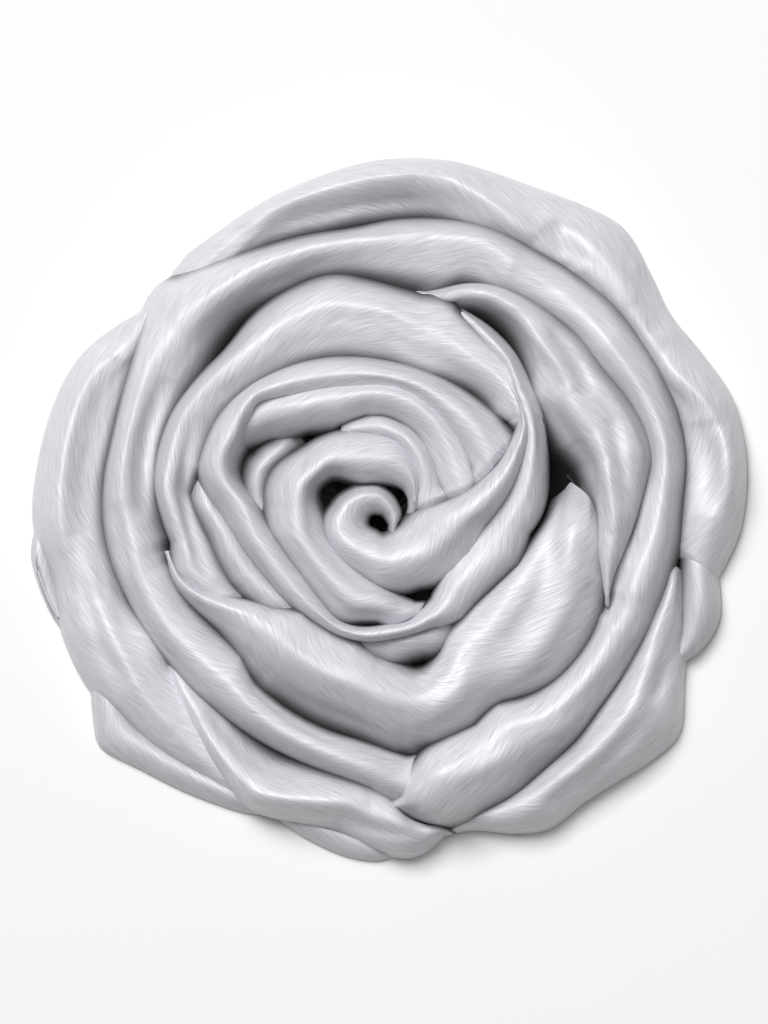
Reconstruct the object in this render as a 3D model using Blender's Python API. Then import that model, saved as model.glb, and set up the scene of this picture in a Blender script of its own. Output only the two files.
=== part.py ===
"""A satin hijab that is twisted lengthways and wound flat into a rosette.

Metres, +Z up. Seen from above, +X is to the right and +Y to the top, and the
rosette rests on the plane z = 0 about the origin. Each stretch of the wound
strand that shows is an arched wall of cloth. The tables give each stretch as
sections from its inner to its outer edge, in angles and radii about the eye of
the rosette, with the heights of both edges and of the crest between them. The
layers hidden inside the heap share one rounded core with a flat underside.
"""

import math
from typing import NamedTuple

import bmesh
import bpy
from mathutils import Vector
from mathutils.bvhtree import BVHTree

MM = 0.001
EYE_X_MM = -3.91
EYE_Y_MM = -3.356
WALL_MM = 1.4
SEAM_MM = 0.32
TUCK_MM = 2.2
STATION_STEP_MM = 8.0
OUTER_FACETS = 8
INNER_FACETS = 4
CUTTER_HEIGHT_MM = 80.0
CORE_RINGS = 18
CORE_SPOKES = 80
CORE_INSET_MM = 9.5
CORE_REACH_MM = 7.5
CORE_CLEARANCE_MM = 0.9
CORE_TOP_MM = 33.0
CORE_LEAST_MM = 1.5
SAMPLE_MM = 1.0
SAMPLED_REACH_MM = 136
RIM_WINDOW = math.radians(5)
CUTTER_DEPTH_MM = 10.0
THINNEST_MM = 0.3
WELD_MM = 0.02
SMOOTH_ANGLE = math.radians(50)


class Section(NamedTuple):
    """One section across a stretch: edge angles in degrees, all else in mm."""

    in_deg: float
    in_mm: float
    out_deg: float
    out_mm: float
    in_z: float
    crest_z: float
    out_z: float
    crest_at: float = 0.5


class Fold(NamedTuple):
    """A ridge, or a trough where height is negative, across a stretch.

    Its ends are shares of the stretch's length and of its width.
    """

    stretch: str
    start_along: float
    start_across: float
    end_along: float
    end_across: float
    width_mm: float
    height_mm: float


STRETCHES = {
    "centre_curl": (
        Section(330, 4.2, 344, 7.2, 30, 35, 32),
        Section(0, 2.3, 11, 9.6, 28, 38, 33),
        Section(45, 2.0, 45, 9.6, 27, 41, 33),
        Section(90, 1.9, 90, 11.1, 26, 43, 36),
        Section(117, 2.6, 117, 12.2, 26, 43, 36),
        Section(140, 3.4, 140, 14.9, 26, 43.5, 31),
        Section(165, 3.8, 168, 17.0, 27, 44, 28),
        Section(185, 4.0, 185, 17.2, 28, 44, 30),
        Section(200, 4.3, 200, 17.3, 29, 44, 34),
    ),
    "inner_sweep": (
        Section(201, 4.3, 201, 17.3, 29, 44, 34, 0.45),
        Section(218, 4.6, 219, 16.5, 30, 44, 36, 0.45),
        Section(240, 4.0, 240, 17.0, 31, 44, 36, 0.45),
        Section(268, 4.3, 262, 19.1, 31, 44, 36, 0.45),
        Section(290, 6.0, 282, 24.4, 31, 44.5, 35, 0.5),
        Section(325, 5.0, 300, 28.5, 33, 45, 32, 0.5),
        Section(356, 7.4, 318, 30.6, 35, 45.5, 32, 0.5),
        Section(14, 10.4, 335, 32.3, 36, 46.5, 33, 0.5),
        Section(18, 15.5, 347, 35.4, 38, 48, 34, 0.5),
        Section(17, 23.6, 357, 39.6, 39, 49, 36, 0.5),
        Section(19, 31.5, 5, 44.0, 40, 50, 38, 0.5),
        Section(22, 38.0, 12, 48.8, 40, 50, 39, 0.5),
        Section(26, 45.6, 19, 53.4, 40, 49, 39, 0.5),
        Section(30, 52.0, 26, 58.7, 39, 47, 39, 0.5),
        Section(34.5, 58.4, 31.5, 63.2, 37, 45, 39, 0.5),
    ),
    "inner_roll": (
        Section(19.5, 12.8, 22, 14.7, 34, 37, 35),
        Section(33, 12.5, 30, 17.4, 32, 40, 35),
        Section(48, 13.2, 46, 22.4, 31, 42, 36, 0.6),
        Section(63, 12.6, 63, 26.4, 33, 44, 36, 0.6),
        Section(80, 11.9, 78, 30.4, 34, 45.5, 36, 0.55),
        Section(100, 12.2, 95, 32.2, 34, 46, 36, 0.5),
        Section(118, 13.0, 111, 34.7, 33, 46.5, 35, 0.5),
        Section(131, 15.8, 122, 35.8, 30, 47, 35, 0.55),
        Section(139, 20.0, 130, 36.7, 28, 47.5, 34, 0.6),
        Section(143, 23.0, 138, 37.6, 28, 47, 33, 0.55),
    ),
    "inner_loop": (
        Section(143.5, 23.6, 139, 37.8, 28, 47, 33, 0.55),
        Section(150, 22.8, 148, 40.3, 27, 47, 31, 0.55),
        Section(158, 20.6, 156, 42.0, 27, 47, 30, 0.55),
        Section(170, 18.0, 164, 42.0, 28, 47, 30, 0.55),
        Section(184, 17.6, 173, 40.2, 32, 47, 32, 0.5),
        Section(200, 17.6, 184, 36.6, 35, 47, 34, 0.5),
        Section(218, 16.9, 198, 32.9, 36, 47, 35, 0.5),
        Section(236, 17.3, 214, 31.0, 36, 46.5, 35, 0.5),
        Section(254, 18.4, 231, 32.1, 36, 46, 34, 0.5),
        Section(270, 20.8, 252, 36.8, 36, 45, 31, 0.45),
        Section(280, 24.2, 268, 35.0, 35, 43.5, 31, 0.45),
        Section(289, 27.8, 280, 36.2, 34, 41, 32, 0.45),
        Section(296, 31.8, 289, 35.0, 33, 37, 33, 0.5),
    ),
    "nested_strand": (
        Section(107, 34.8, 106, 36.4, 33, 36, 33),
        Section(98, 33.4, 97, 37.2, 33, 39, 34),
        Section(88, 32.2, 88, 37.2, 34, 41, 35),
        Section(76, 31.0, 76, 35.4, 35, 42, 36),
        Section(64, 27.4, 66, 34.0, 35, 42.5, 36),
        Section(53, 24.6, 54, 31.3, 35, 42, 36),
        Section(42, 21.6, 43, 28.8, 34, 41, 36),
        Section(31, 18.2, 31, 27.3, 34, 40, 36),
        Section(21, 15.0, 19.5, 26.6, 34, 39, 36),
    ),
    "upper_arm_inner": (
        Section(150.5, 56.6, 142, 61.8, 33, 43, 41),
        Section(147, 50.0, 136, 58.0, 28, 43.5, 41, 0.55),
        Section(142, 44.2, 129, 53.6, 28, 44, 41, 0.55),
        Section(134, 39.6, 119, 49.6, 31, 44, 41, 0.5),
        Section(121, 36.9, 108, 47.0, 33, 44, 41, 0.5),
        Section(106, 37.0, 96, 45.5, 34, 44, 41, 0.5),
        Section(91, 38.8, 85, 44.7, 35, 44, 41, 0.5),
        Section(78, 36.8, 74, 43.0, 36, 44, 41, 0.5),
        Section(66, 34.8, 63, 40.5, 37, 43.5, 40, 0.5),
        Section(54, 32.0, 52, 38.4, 37, 43, 40, 0.5),
        Section(43, 29.4, 42, 37.1, 37, 42.5, 39, 0.5),
        Section(31, 28.0, 31, 35.6, 37, 42, 39, 0.5),
        Section(20.5, 27.4, 21, 34.2, 37, 41, 38, 0.5),
    ),
    "upper_arm_outer": (
        Section(22.5, 35.6, 31.5, 54.4, 39, 44, 36),
        Section(32, 36.4, 38, 56.2, 39, 45.5, 34, 0.5),
        Section(45, 38.0, 47, 55.4, 40, 46, 33, 0.5),
        Section(58, 40.0, 58, 55.0, 40, 46, 33, 0.5),
        Section(72, 43.1, 70, 55.3, 41, 46, 34, 0.5),
        Section(86, 45.3, 82, 56.2, 41, 46, 35, 0.45),
        Section(100, 46.4, 94, 58.1, 41, 46, 35, 0.45),
        Section(114, 48.9, 106, 60.4, 41, 46, 35, 0.45),
        Section(126, 52.9, 118, 62.8, 41, 46, 35, 0.45),
        Section(136, 58.4, 130, 64.9, 41, 45.5, 35, 0.45),
        Section(142, 62.3, 139, 66.5, 41, 44.5, 36, 0.45),
    ),
    "second_loop": (
        Section(143, 62.6, 140.5, 66.8, 40, 44.5, 36),
        Section(151, 57.8, 149, 67.5, 34, 45, 35, 0.4),
        Section(158, 58.7, 158, 66.9, 28, 45.5, 35, 0.4),
        Section(163, 55.0, 165, 66.2, 28, 46, 34, 0.4),
        Section(167, 48.8, 171, 62.4, 28, 46, 32, 0.4),
        Section(173, 41.6, 177, 57.0, 30, 46, 31, 0.4),
        Section(181, 37.9, 185, 52.2, 33, 46, 32, 0.5),
        Section(191, 34.6, 195, 48.4, 34, 46, 33, 0.5),
        Section(202, 32.6, 206, 45.4, 34, 45.5, 34, 0.5),
        Section(218, 31.5, 220, 44.2, 34, 45, 34, 0.5),
        Section(232, 33.2, 236, 43.3, 33, 44.5, 33, 0.5),
        Section(247, 36.9, 252, 43.7, 32, 43, 33, 0.5),
        Section(260, 37.6, 266, 43.5, 32, 42.5, 32, 0.5),
        Section(274, 36.3, 278, 42.6, 32, 42.5, 31, 0.5),
        Section(287, 36.2, 289, 42.4, 32, 42, 31, 0.5),
        Section(298, 33.6, 300, 42.9, 31, 42, 33, 0.5),
        Section(310, 31.6, 309, 42.0, 31, 42, 35, 0.5),
        Section(324, 31.8, 321, 41.2, 33, 42, 36, 0.5),
        Section(338, 33.2, 333, 43.4, 34, 42, 37, 0.5),
        Section(350, 37.1, 345, 48.4, 36, 42.5, 37, 0.5),
        Section(359, 41.7, 353.5, 53.2, 37, 43, 37, 0.5),
    ),
    "second_loop_rise": (
        Section(0, 42.3, 354.5, 53.9, 37, 43, 37),
        Section(8, 46.8, 1, 57.6, 38, 43.5, 34, 0.5),
        Section(15, 51.4, 9, 60.5, 38, 44, 30, 0.5),
        Section(22, 56.2, 18, 63.2, 38, 44, 28, 0.5),
        Section(28, 61.2, 26, 66.0, 38, 43.5, 30, 0.5),
        Section(35, 64.4, 34, 69.4, 38, 43, 33, 0.5),
        Section(43, 66.8, 43, 72.6, 38, 43, 32, 0.5),
        Section(52, 69.0, 51, 76.1, 38, 43, 28, 0.5),
        Section(60, 71.0, 59, 78.5, 38, 42.5, 28, 0.5),
        Section(67.5, 75.0, 67, 79.6, 38, 41.5, 30, 0.5),
    ),
    "third_ring": (
        Section(35.5, 58.2, 33, 63.5, 35, 42, 39),
        Section(42, 58.0, 42, 66.3, 29, 41.5, 39, 0.6),
        Section(50, 57.6, 51, 68.3, 28, 41, 38, 0.6),
        Section(58, 56.8, 60, 70.4, 30, 41, 38, 0.6),
        Section(67, 56.0, 68, 74.6, 32, 41, 37, 0.55),
        Section(75, 56.2, 75, 80.0, 34, 41, 32, 0.5),
        Section(84, 57.0, 85, 82.0, 36, 41.5, 28, 0.5),
        Section(94, 58.6, 93, 85.0, 37, 42, 26, 0.5),
        Section(104, 60.5, 101, 88.2, 37, 42, 25, 0.5),
        Section(114, 62.6, 111, 87.2, 37, 42, 24, 0.5),
        Section(123, 64.1, 121, 84.8, 36, 42, 20, 0.5),
        Section(132, 65.8, 132, 80.6, 35, 42, 20, 0.45),
        Section(142, 67.4, 142, 81.0, 34, 41, 24, 0.7),
        Section(152, 67.7, 152, 82.0, 33, 40, 25, 0.7),
        Section(162, 66.9, 162, 81.3, 33, 40, 26, 0.7),
        Section(171, 65.6, 171, 79.5, 32, 40, 26, 0.7),
        Section(179, 62.2, 180, 75.8, 32, 39.5, 27, 0.6),
        Section(188, 58.2, 188, 72.6, 32, 39, 28, 0.6),
        Section(197, 56.2, 195, 70.0, 32, 38, 31, 0.6),
        Section(203, 55.2, 201, 64.6, 32, 37, 32, 0.5),
        Section(208, 54.2, 206.5, 57.6, 32, 35, 32, 0.5),
    ),
    "shaded_strand": (
        Section(173, 62.3, 173.5, 64.4, 29, 31, 29),
        Section(178, 57.4, 179, 61.4, 28, 33, 29),
        Section(185, 53.0, 186, 58.0, 28, 34, 29),
        Section(194, 49.5, 195, 56.0, 28, 34.5, 29),
        Section(203, 46.8, 204, 54.0, 29, 34.5, 30),
        Section(211, 45.6, 211, 52.2, 30, 34, 31),
        Section(218, 44.9, 217.5, 48.0, 31, 33, 31),
    ),
    "peeking_strand": (
        Section(146, 42.4, 145, 46.0, 22, 27, 22),
        Section(154, 43.4, 153, 50.0, 22, 29, 22),
        Section(162, 43.2, 161, 49.6, 22, 29, 22),
        Section(169, 42.0, 168, 44.8, 22, 27, 22),
    ),
    "lower_strand": (
        Section(265, 44.2, 265, 45.0, 30, 32, 30),
        Section(271, 43.9, 271, 45.8, 30, 33, 30),
        Section(277, 43.3, 277, 48.0, 29, 35, 28),
        Section(284, 43.0, 283, 50.2, 29, 36, 25),
        Section(290, 43.0, 290, 50.4, 30, 36, 25),
        Section(296, 43.3, 295, 47.9, 30, 35, 30),
        Section(300, 43.6, 300, 45.0, 31, 33, 31),
    ),
    "petal_left": (
        Section(187.5, 73.4, 187.5, 75.8, 29, 32, 29),
        Section(194, 71.2, 194, 75.8, 30, 36, 27, 0.5),
        Section(201, 66.0, 201.5, 73.6, 32, 38.5, 26, 0.45),
        Section(206.5, 58.6, 208, 70.8, 34, 40.5, 26, 0.4),
        Section(212, 52.4, 215, 68.2, 35, 41.5, 26, 0.35),
        Section(220, 47.2, 222, 67.2, 36, 42, 25, 0.3),
        Section(230, 44.3, 231, 70.2, 36, 41.5, 24, 0.35),
        Section(242, 43.9, 242, 72.3, 36, 40.5, 23, 0.45),
        Section(255, 44.3, 254, 74.4, 35, 40, 22, 0.5),
        Section(268, 45.6, 266, 76.9, 33, 40, 22, 0.5),
        Section(277, 48.6, 274, 80.8, 30, 40, 22, 0.5),
        Section(285, 53.2, 281, 81.2, 28, 39.5, 22, 0.5),
    ),
    "petal_right": (
        Section(286, 53.6, 282.5, 80.2, 28, 39.5, 22, 0.5),
        Section(293, 50.8, 292, 77.0, 29, 39, 23, 0.55),
        Section(300, 45.9, 300, 76.8, 33, 38.5, 22, 0.6),
        Section(308, 42.8, 309, 81.6, 36, 38, 20, 0.62),
        Section(318, 41.9, 318, 86.0, 37, 37.5, 23, 0.65),
        Section(329, 43.0, 328, 87.2, 37, 37.5, 23, 0.65),
        Section(339, 46.2, 337, 86.2, 36, 38, 25, 0.6),
        Section(347, 50.2, 343, 81.8, 36, 38, 29, 0.55),
        Section(354, 54.0, 349, 77.4, 35, 38, 31, 0.5),
        Section(1, 58.2, 357, 76.0, 33, 38, 32, 0.5),
        Section(7, 62.5, 4, 74.6, 30, 37, 32, 0.6),
        Section(10, 69.6, 9.3, 73.0, 29, 34, 32),
    ),
    "right_ring": (
        Section(72, 81.0, 75, 82.8, 28, 32, 28),
        Section(67, 84.2, 69, 88.0, 26, 36, 27, 0.5),
        Section(60, 85.3, 62, 92.1, 25, 38, 26, 0.5),
        Section(53, 83.4, 55, 94.0, 26, 39, 25, 0.5),
        Section(47, 76.6, 48, 95.0, 30, 40, 24, 0.5),
        Section(41, 72.4, 41, 96.4, 33, 40, 24, 0.5),
        Section(34, 70.2, 34, 96.0, 33, 40, 24, 0.5),
        Section(27, 67.4, 27, 98.2, 30, 40, 23, 0.5),
        Section(19, 69.6, 20, 100.2, 28, 40, 22, 0.45),
        Section(12, 73.0, 13, 99.8, 30, 40, 22, 0.4),
        Section(5, 75.1, 7, 95.8, 31, 39, 22, 0.4),
        Section(358, 76.5, 0, 91.6, 32, 38, 23, 0.4),
        Section(351, 77.4, 353, 88.0, 31, 37, 24, 0.4),
        Section(345, 80.6, 347, 85.4, 29, 34, 25, 0.5),
        Section(341, 84.0, 341.5, 85.6, 27, 30, 26, 0.5),
    ),
    "top_ring": (
        Section(78, 81.2, 77, 108.4, 27, 31.5, 19, 0.55),
        Section(86, 83.2, 86, 106.0, 26, 31, 18, 0.55),
        Section(95, 86.6, 95, 103.0, 24, 30.5, 18, 0.55),
        Section(104, 88.8, 105, 103.4, 22, 30, 20, 0.55),
        Section(114, 87.4, 116, 105.4, 20, 30.5, 20, 0.5),
        Section(124, 88.0, 126, 107.8, 17, 31, 19, 0.45),
        Section(133, 85.2, 134, 109.6, 17, 31, 17, 0.4),
        Section(139, 82.0, 139, 108.4, 21, 31, 17, 0.4),
    ),
    "left_ring": (
        Section(140, 81.8, 140, 107.8, 21, 31, 17, 0.4),
        Section(147, 82.3, 146, 104.0, 22, 31, 17, 0.45),
        Section(154, 82.6, 154, 100.4, 23, 31.5, 17, 0.5),
        Section(162, 82.0, 162, 98.2, 23, 31.5, 17, 0.5),
        Section(170, 80.2, 171, 97.7, 23, 31.5, 17, 0.5),
        Section(178, 78.6, 180, 96.7, 23, 31.5, 17, 0.5),
        Section(186, 76.8, 189, 95.0, 24, 31.5, 17, 0.5),
        Section(194, 76.3, 198, 92.3, 24, 31.5, 17, 0.5),
        Section(203, 73.2, 207, 90.5, 24, 31.5, 17, 0.5),
        Section(212, 69.5, 216, 89.2, 25, 32, 17, 0.5),
        Section(221, 67.6, 225, 88.6, 26, 32.5, 17, 0.5),
        Section(231, 70.7, 235, 88.0, 26, 33, 16, 0.5),
        Section(243, 72.9, 245, 88.5, 26, 33, 15, 0.5),
        Section(255, 75.1, 255, 90.0, 25, 32.5, 14, 0.5),
        Section(266, 77.3, 264, 93.0, 24, 32, 14, 0.5),
        Section(273, 80.5, 270, 95.0, 23, 30, 15, 0.5),
        Section(277.5, 83.6, 273.5, 93.8, 22, 27, 16, 0.5),
    ),
    "outer_ring_right": (
        Section(76.5, 81.8, 75.5, 109.0, 25, 31, 18, 0.6),
        Section(70, 87.8, 67, 110.2, 23, 31, 18, 0.55),
        Section(62, 92.7, 59, 110.5, 22, 30.5, 18, 0.55),
        Section(53, 94.8, 51, 111.6, 21, 30, 18, 0.5),
        Section(44, 96.6, 43, 112.9, 20, 30, 18, 0.5),
        Section(35, 96.5, 34, 112.9, 20, 30, 17, 0.5),
        Section(27, 98.8, 26, 112.7, 20, 29.5, 16, 0.5),
        Section(19, 100.8, 18, 111.9, 20, 29, 16, 0.5),
        Section(12, 100.0, 11, 110.5, 20, 29, 15, 0.5),
        Section(5, 95.0, 3, 107.6, 21, 30, 15, 0.5),
        Section(357, 90.7, 355, 106.5, 22, 31, 15, 0.5),
        Section(349, 86.3, 347, 105.2, 23, 31.5, 16, 0.5),
    ),
    "bottom_ring": (
        Section(348, 85.9, 346, 105.1, 23, 31.5, 16, 0.5),
        Section(340, 86.1, 337, 104.0, 23, 32, 16, 0.5),
        Section(331, 87.5, 328, 103.1, 22, 32, 16, 0.5),
        Section(321, 86.8, 320, 103.2, 22, 32, 16, 0.5),
        Section(311, 83.8, 311, 105.5, 21, 32, 16, 0.45),
        Section(302, 78.0, 303, 106.8, 21, 32, 16, 0.4),
        Section(293, 77.2, 296, 108.5, 22, 32, 16, 0.4),
        Section(285, 79.1, 290, 109.7, 22, 31.5, 15, 0.4),
        Section(280, 82.6, 286, 111.2, 20, 30, 13, 0.4),
        Section(277, 88.0, 282, 110.2, 18, 28, 13, 0.45),
        Section(274, 93.6, 278, 106.2, 16, 25, 14, 0.5),
        Section(272.3, 98.6, 273.5, 101.2, 16, 20, 16, 0.5),
    ),
    "crown": (
        Section(65.5, 110.8, 65.5, 128.6, 14, 21.5, 0, 0.4),
        Section(73, 109.8, 73, 128.2, 13, 21.5, 0, 0.5),
        Section(80, 108.1, 80, 128.1, 13, 21.5, 0, 0.55),
        Section(90, 105.3, 90, 126.0, 13, 21.5, 0, 0.6),
        Section(100, 103.5, 100, 122.0, 14, 21.5, 0, 0.6),
        Section(110, 104.6, 110, 118.4, 15, 20.5, 0, 0.55),
        Section(120, 106.8, 120, 115.2, 15, 18.5, 0, 0.45),
        Section(128, 108.9, 128, 114.1, 13, 15.5, 0, 0.4),
        Section(134, 110.2, 133.8, 112.4, 9, 11, 0, 0.4),
    ),
    "crown_right": (
        Section(64.5, 110.8, 64.5, 128.8, 14, 21.5, 0, 0.4),
        Section(57, 111.3, 56.5, 131.7, 14, 21.5, 0, 0.35),
        Section(50, 112.2, 49.5, 133.5, 14, 21, 0, 0.35),
        Section(42, 113.5, 42, 128.6, 13, 21, 0, 0.35),
        Section(35, 113.3, 35, 125.2, 13, 20, 0, 0.4),
    ),
    "right_flounce": (
        Section(34, 113.3, 34, 125.2, 13, 20, 0, 0.4),
        Section(27, 113.3, 27, 127.7, 12, 20, 0, 0.35),
        Section(19, 112.5, 19, 131.3, 12, 20.5, 0, 0.6),
        Section(11, 111.0, 11, 131.1, 12, 21, 0, 0.65),
        Section(4, 108.3, 3.5, 129.2, 12, 20.5, 0, 0.6),
        Section(358, 107.7, 357, 126.3, 12, 19, 0, 0.5),
        Section(354.3, 107.0, 350.3, 121.2, 12, 17, 0, 0.5),
    ),
    "right_tail": (
        Section(353.5, 107.4, 349.6, 120.4, 10, 13, 0, 0.5),
        Section(350, 109.6, 347, 122.9, 10, 13.5, 0, 0.55),
        Section(346, 112.2, 343.5, 124.4, 10, 14, 0, 0.55),
        Section(342, 115.0, 340, 123.7, 9, 13, 0, 0.5),
        Section(338, 117.6, 336.6, 121.1, 7, 9.5, 0, 0.5),
    ),
    "bottom_flounce": (
        Section(349.5, 106.0, 349, 109.0, 13, 16, 12),
        Section(345, 105.3, 343.5, 112.6, 13, 20, 7, 0.4),
        Section(339, 104.6, 338, 116.8, 13, 22, 5, 0.3),
        Section(333, 103.9, 332, 121.6, 13, 22.5, 0, 0.3),
        Section(327, 103.3, 325, 129.4, 13, 22.5, 0, 0.3),
        Section(320, 103.5, 319, 128.0, 13, 22.5, 0, 0.35),
        Section(313, 105.5, 313, 124.8, 13, 22, 0, 0.35),
        Section(306, 106.4, 306, 122.8, 12, 21, 0, 0.4),
        Section(299, 108.3, 299, 124.0, 11, 20, 0, 0.4),
        Section(293, 109.7, 293.5, 120.0, 10, 17, 0, 0.4),
        Section(288, 111.0, 289, 115.2, 9, 13, 0, 0.4),
        Section(285.2, 112.3, 285.6, 113.2, 8, 9, 2, 0.4),
    ),
    "left_flounce": (
        Section(138.6, 108.9, 138, 110.1, 9, 11, 0, 0.4),
        Section(145, 105.2, 145, 115.2, 12, 18, 0, 0.4),
        Section(153, 101.1, 152, 119.3, 13, 20, 0, 0.45),
        Section(162, 98.7, 161, 120.7, 13, 21, 0, 0.5),
        Section(172, 98.2, 172, 120.9, 13, 21.5, 0, 0.5),
        Section(181.5, 97.1, 181, 120.8, 13, 21.5, 1, 0.5),
        Section(190, 95.2, 190, 116.3, 13, 21.5, 3, 0.5),
        Section(199, 92.8, 199.5, 117.8, 13, 21, 1, 0.5),
        Section(208, 91.0, 210, 117.6, 13, 20.5, 1, 0.5),
        Section(217, 94.6, 219, 113.8, 12, 20, 3, 0.4),
        Section(226, 98.4, 227, 111.9, 12, 18, 3, 0.4),
        Section(235, 103.4, 235, 110.2, 11, 14, 4, 0.4),
        Section(241.5, 108.0, 241, 109.5, 8, 10, 4, 0.4),
    ),
    "left_tail": (
        Section(182.8, 120.6, 183, 121.1, 2, 4.5, 0),
        Section(186.5, 117.3, 186.5, 122.2, 2, 6.5, 0),
        Section(191.5, 116.9, 191.5, 120.8, 2, 6.5, 0),
        Section(196.5, 118.3, 196.5, 119.3, 2, 5, 0),
    ),
    "lower_left_tail": (
        Section(212, 117.4, 212.3, 119.0, 2, 5, 0),
        Section(216, 115.4, 216.3, 123.4, 3, 7.5, 0),
        Section(220, 114.0, 220, 125.9, 4, 8.5, 0, 0.4),
        Section(226, 112.6, 226, 120.8, 4, 8.5, 0, 0.4),
        Section(233, 111.0, 233, 117.4, 4, 8, 0, 0.4),
        Section(240, 110.0, 240, 114.6, 3, 7, 0, 0.4),
        Section(246, 111.2, 246, 113.0, 2, 5, 0, 0.4),
    ),
    "bottom_swirl": (
        Section(210, 91.2, 211.5, 92.6, 12, 15, 12),
        Section(218, 89.6, 219, 95.2, 11, 18, 11, 0.5),
        Section(228, 88.9, 229, 99.4, 10, 20.5, 10, 0.55),
        Section(238, 88.6, 238, 105.2, 9, 22, 8, 0.55),
        Section(247, 89.2, 246, 111.0, 9, 22.5, 2, 0.55),
        Section(256, 90.8, 256, 110.4, 9, 22.5, 3, 0.5),
        Section(264, 93.6, 263, 111.2, 10, 22, 3, 0.5),
        Section(269, 96.0, 270, 116.6, 11, 22, 0, 0.5),
        Section(272, 99.8, 275, 119.4, 12, 22, 0, 0.5),
        Section(275.5, 104.6, 279, 117.2, 11, 19, 0, 0.5),
        Section(280, 109.3, 282.2, 113.0, 8, 12, 0, 0.4),
    ),
    "bottom_tail": (
        Section(253.5, 111.5, 253.5, 112.3, 2, 4, 0),
        Section(258, 111.1, 258, 114.8, 3, 6.5, 0),
        Section(263, 111.8, 263, 117.6, 3, 7, 0),
        Section(268, 114.6, 267.5, 119.3, 3, 6.5, 0),
        Section(270.5, 117.2, 270.3, 119.9, 2, 5, 0),
    ),
}

FOLDS = (
    Fold("left_ring", 0.08, 0.35, 0.36, 0.12, 3.0, -3.5),
    Fold("left_ring", 0.0, 0.75, 0.45, 0.62, 5.0, 1.5),
    Fold("third_ring", 0.55, 0.45, 0.98, 0.42, 2.6, -3.5),
    Fold("third_ring", 0.35, 0.25, 0.6, 0.35, 5.0, 2.0),
    Fold("petal_left", 0.15, 0.15, 0.9, 0.35, 6.0, 1.5),
    Fold("petal_left", 0.45, 0.75, 0.95, 0.7, 5.0, -1.5),
    Fold("petal_right", 0.25, 0.35, 0.95, 0.1, 4.5, -3.5),
    Fold("petal_right", 0.15, 0.75, 0.9, 0.8, 5.0, 2.0),
    Fold("right_ring", 0.35, 0.15, 0.85, 0.2, 4.0, 2.0),
    Fold("right_ring", 0.35, 0.6, 0.8, 0.45, 4.0, -3.0),
    Fold("right_ring", 0.3, 0.85, 0.7, 0.75, 3.5, 2.0),
    Fold("top_ring", 0.05, 0.6, 0.95, 0.3, 5.0, 2.0),
    Fold("outer_ring_right", 0.1, 0.4, 0.9, 0.5, 5.0, 1.5),
    Fold("bottom_ring", 0.1, 0.35, 0.6, 0.6, 5.0, -2.0),
    Fold("bottom_ring", 0.3, 0.8, 0.95, 0.35, 5.0, 2.0),
    Fold("crown", 0.1, 0.2, 0.75, 0.3, 7.0, -4.0),
    Fold("crown_right", 0.1, 0.5, 0.55, 0.35, 5.0, -4.0),
    Fold("right_flounce", 0.3, 0.35, 0.8, 0.45, 4.5, -4.0),
    Fold("right_tail", 0.2, 0.4, 0.7, 0.4, 4.0, -2.5),
    Fold("bottom_flounce", 0.15, 0.6, 0.5, 0.5, 4.5, -3.0),
    Fold("left_flounce", 0.15, 0.55, 0.6, 0.3, 6.0, -3.0),
    Fold("left_flounce", 0.5, 0.7, 0.8, 0.6, 5.0, 2.0),
    Fold("bottom_swirl", 0.3, 0.2, 0.7, 0.3, 5.0, -3.5),
)

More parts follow.
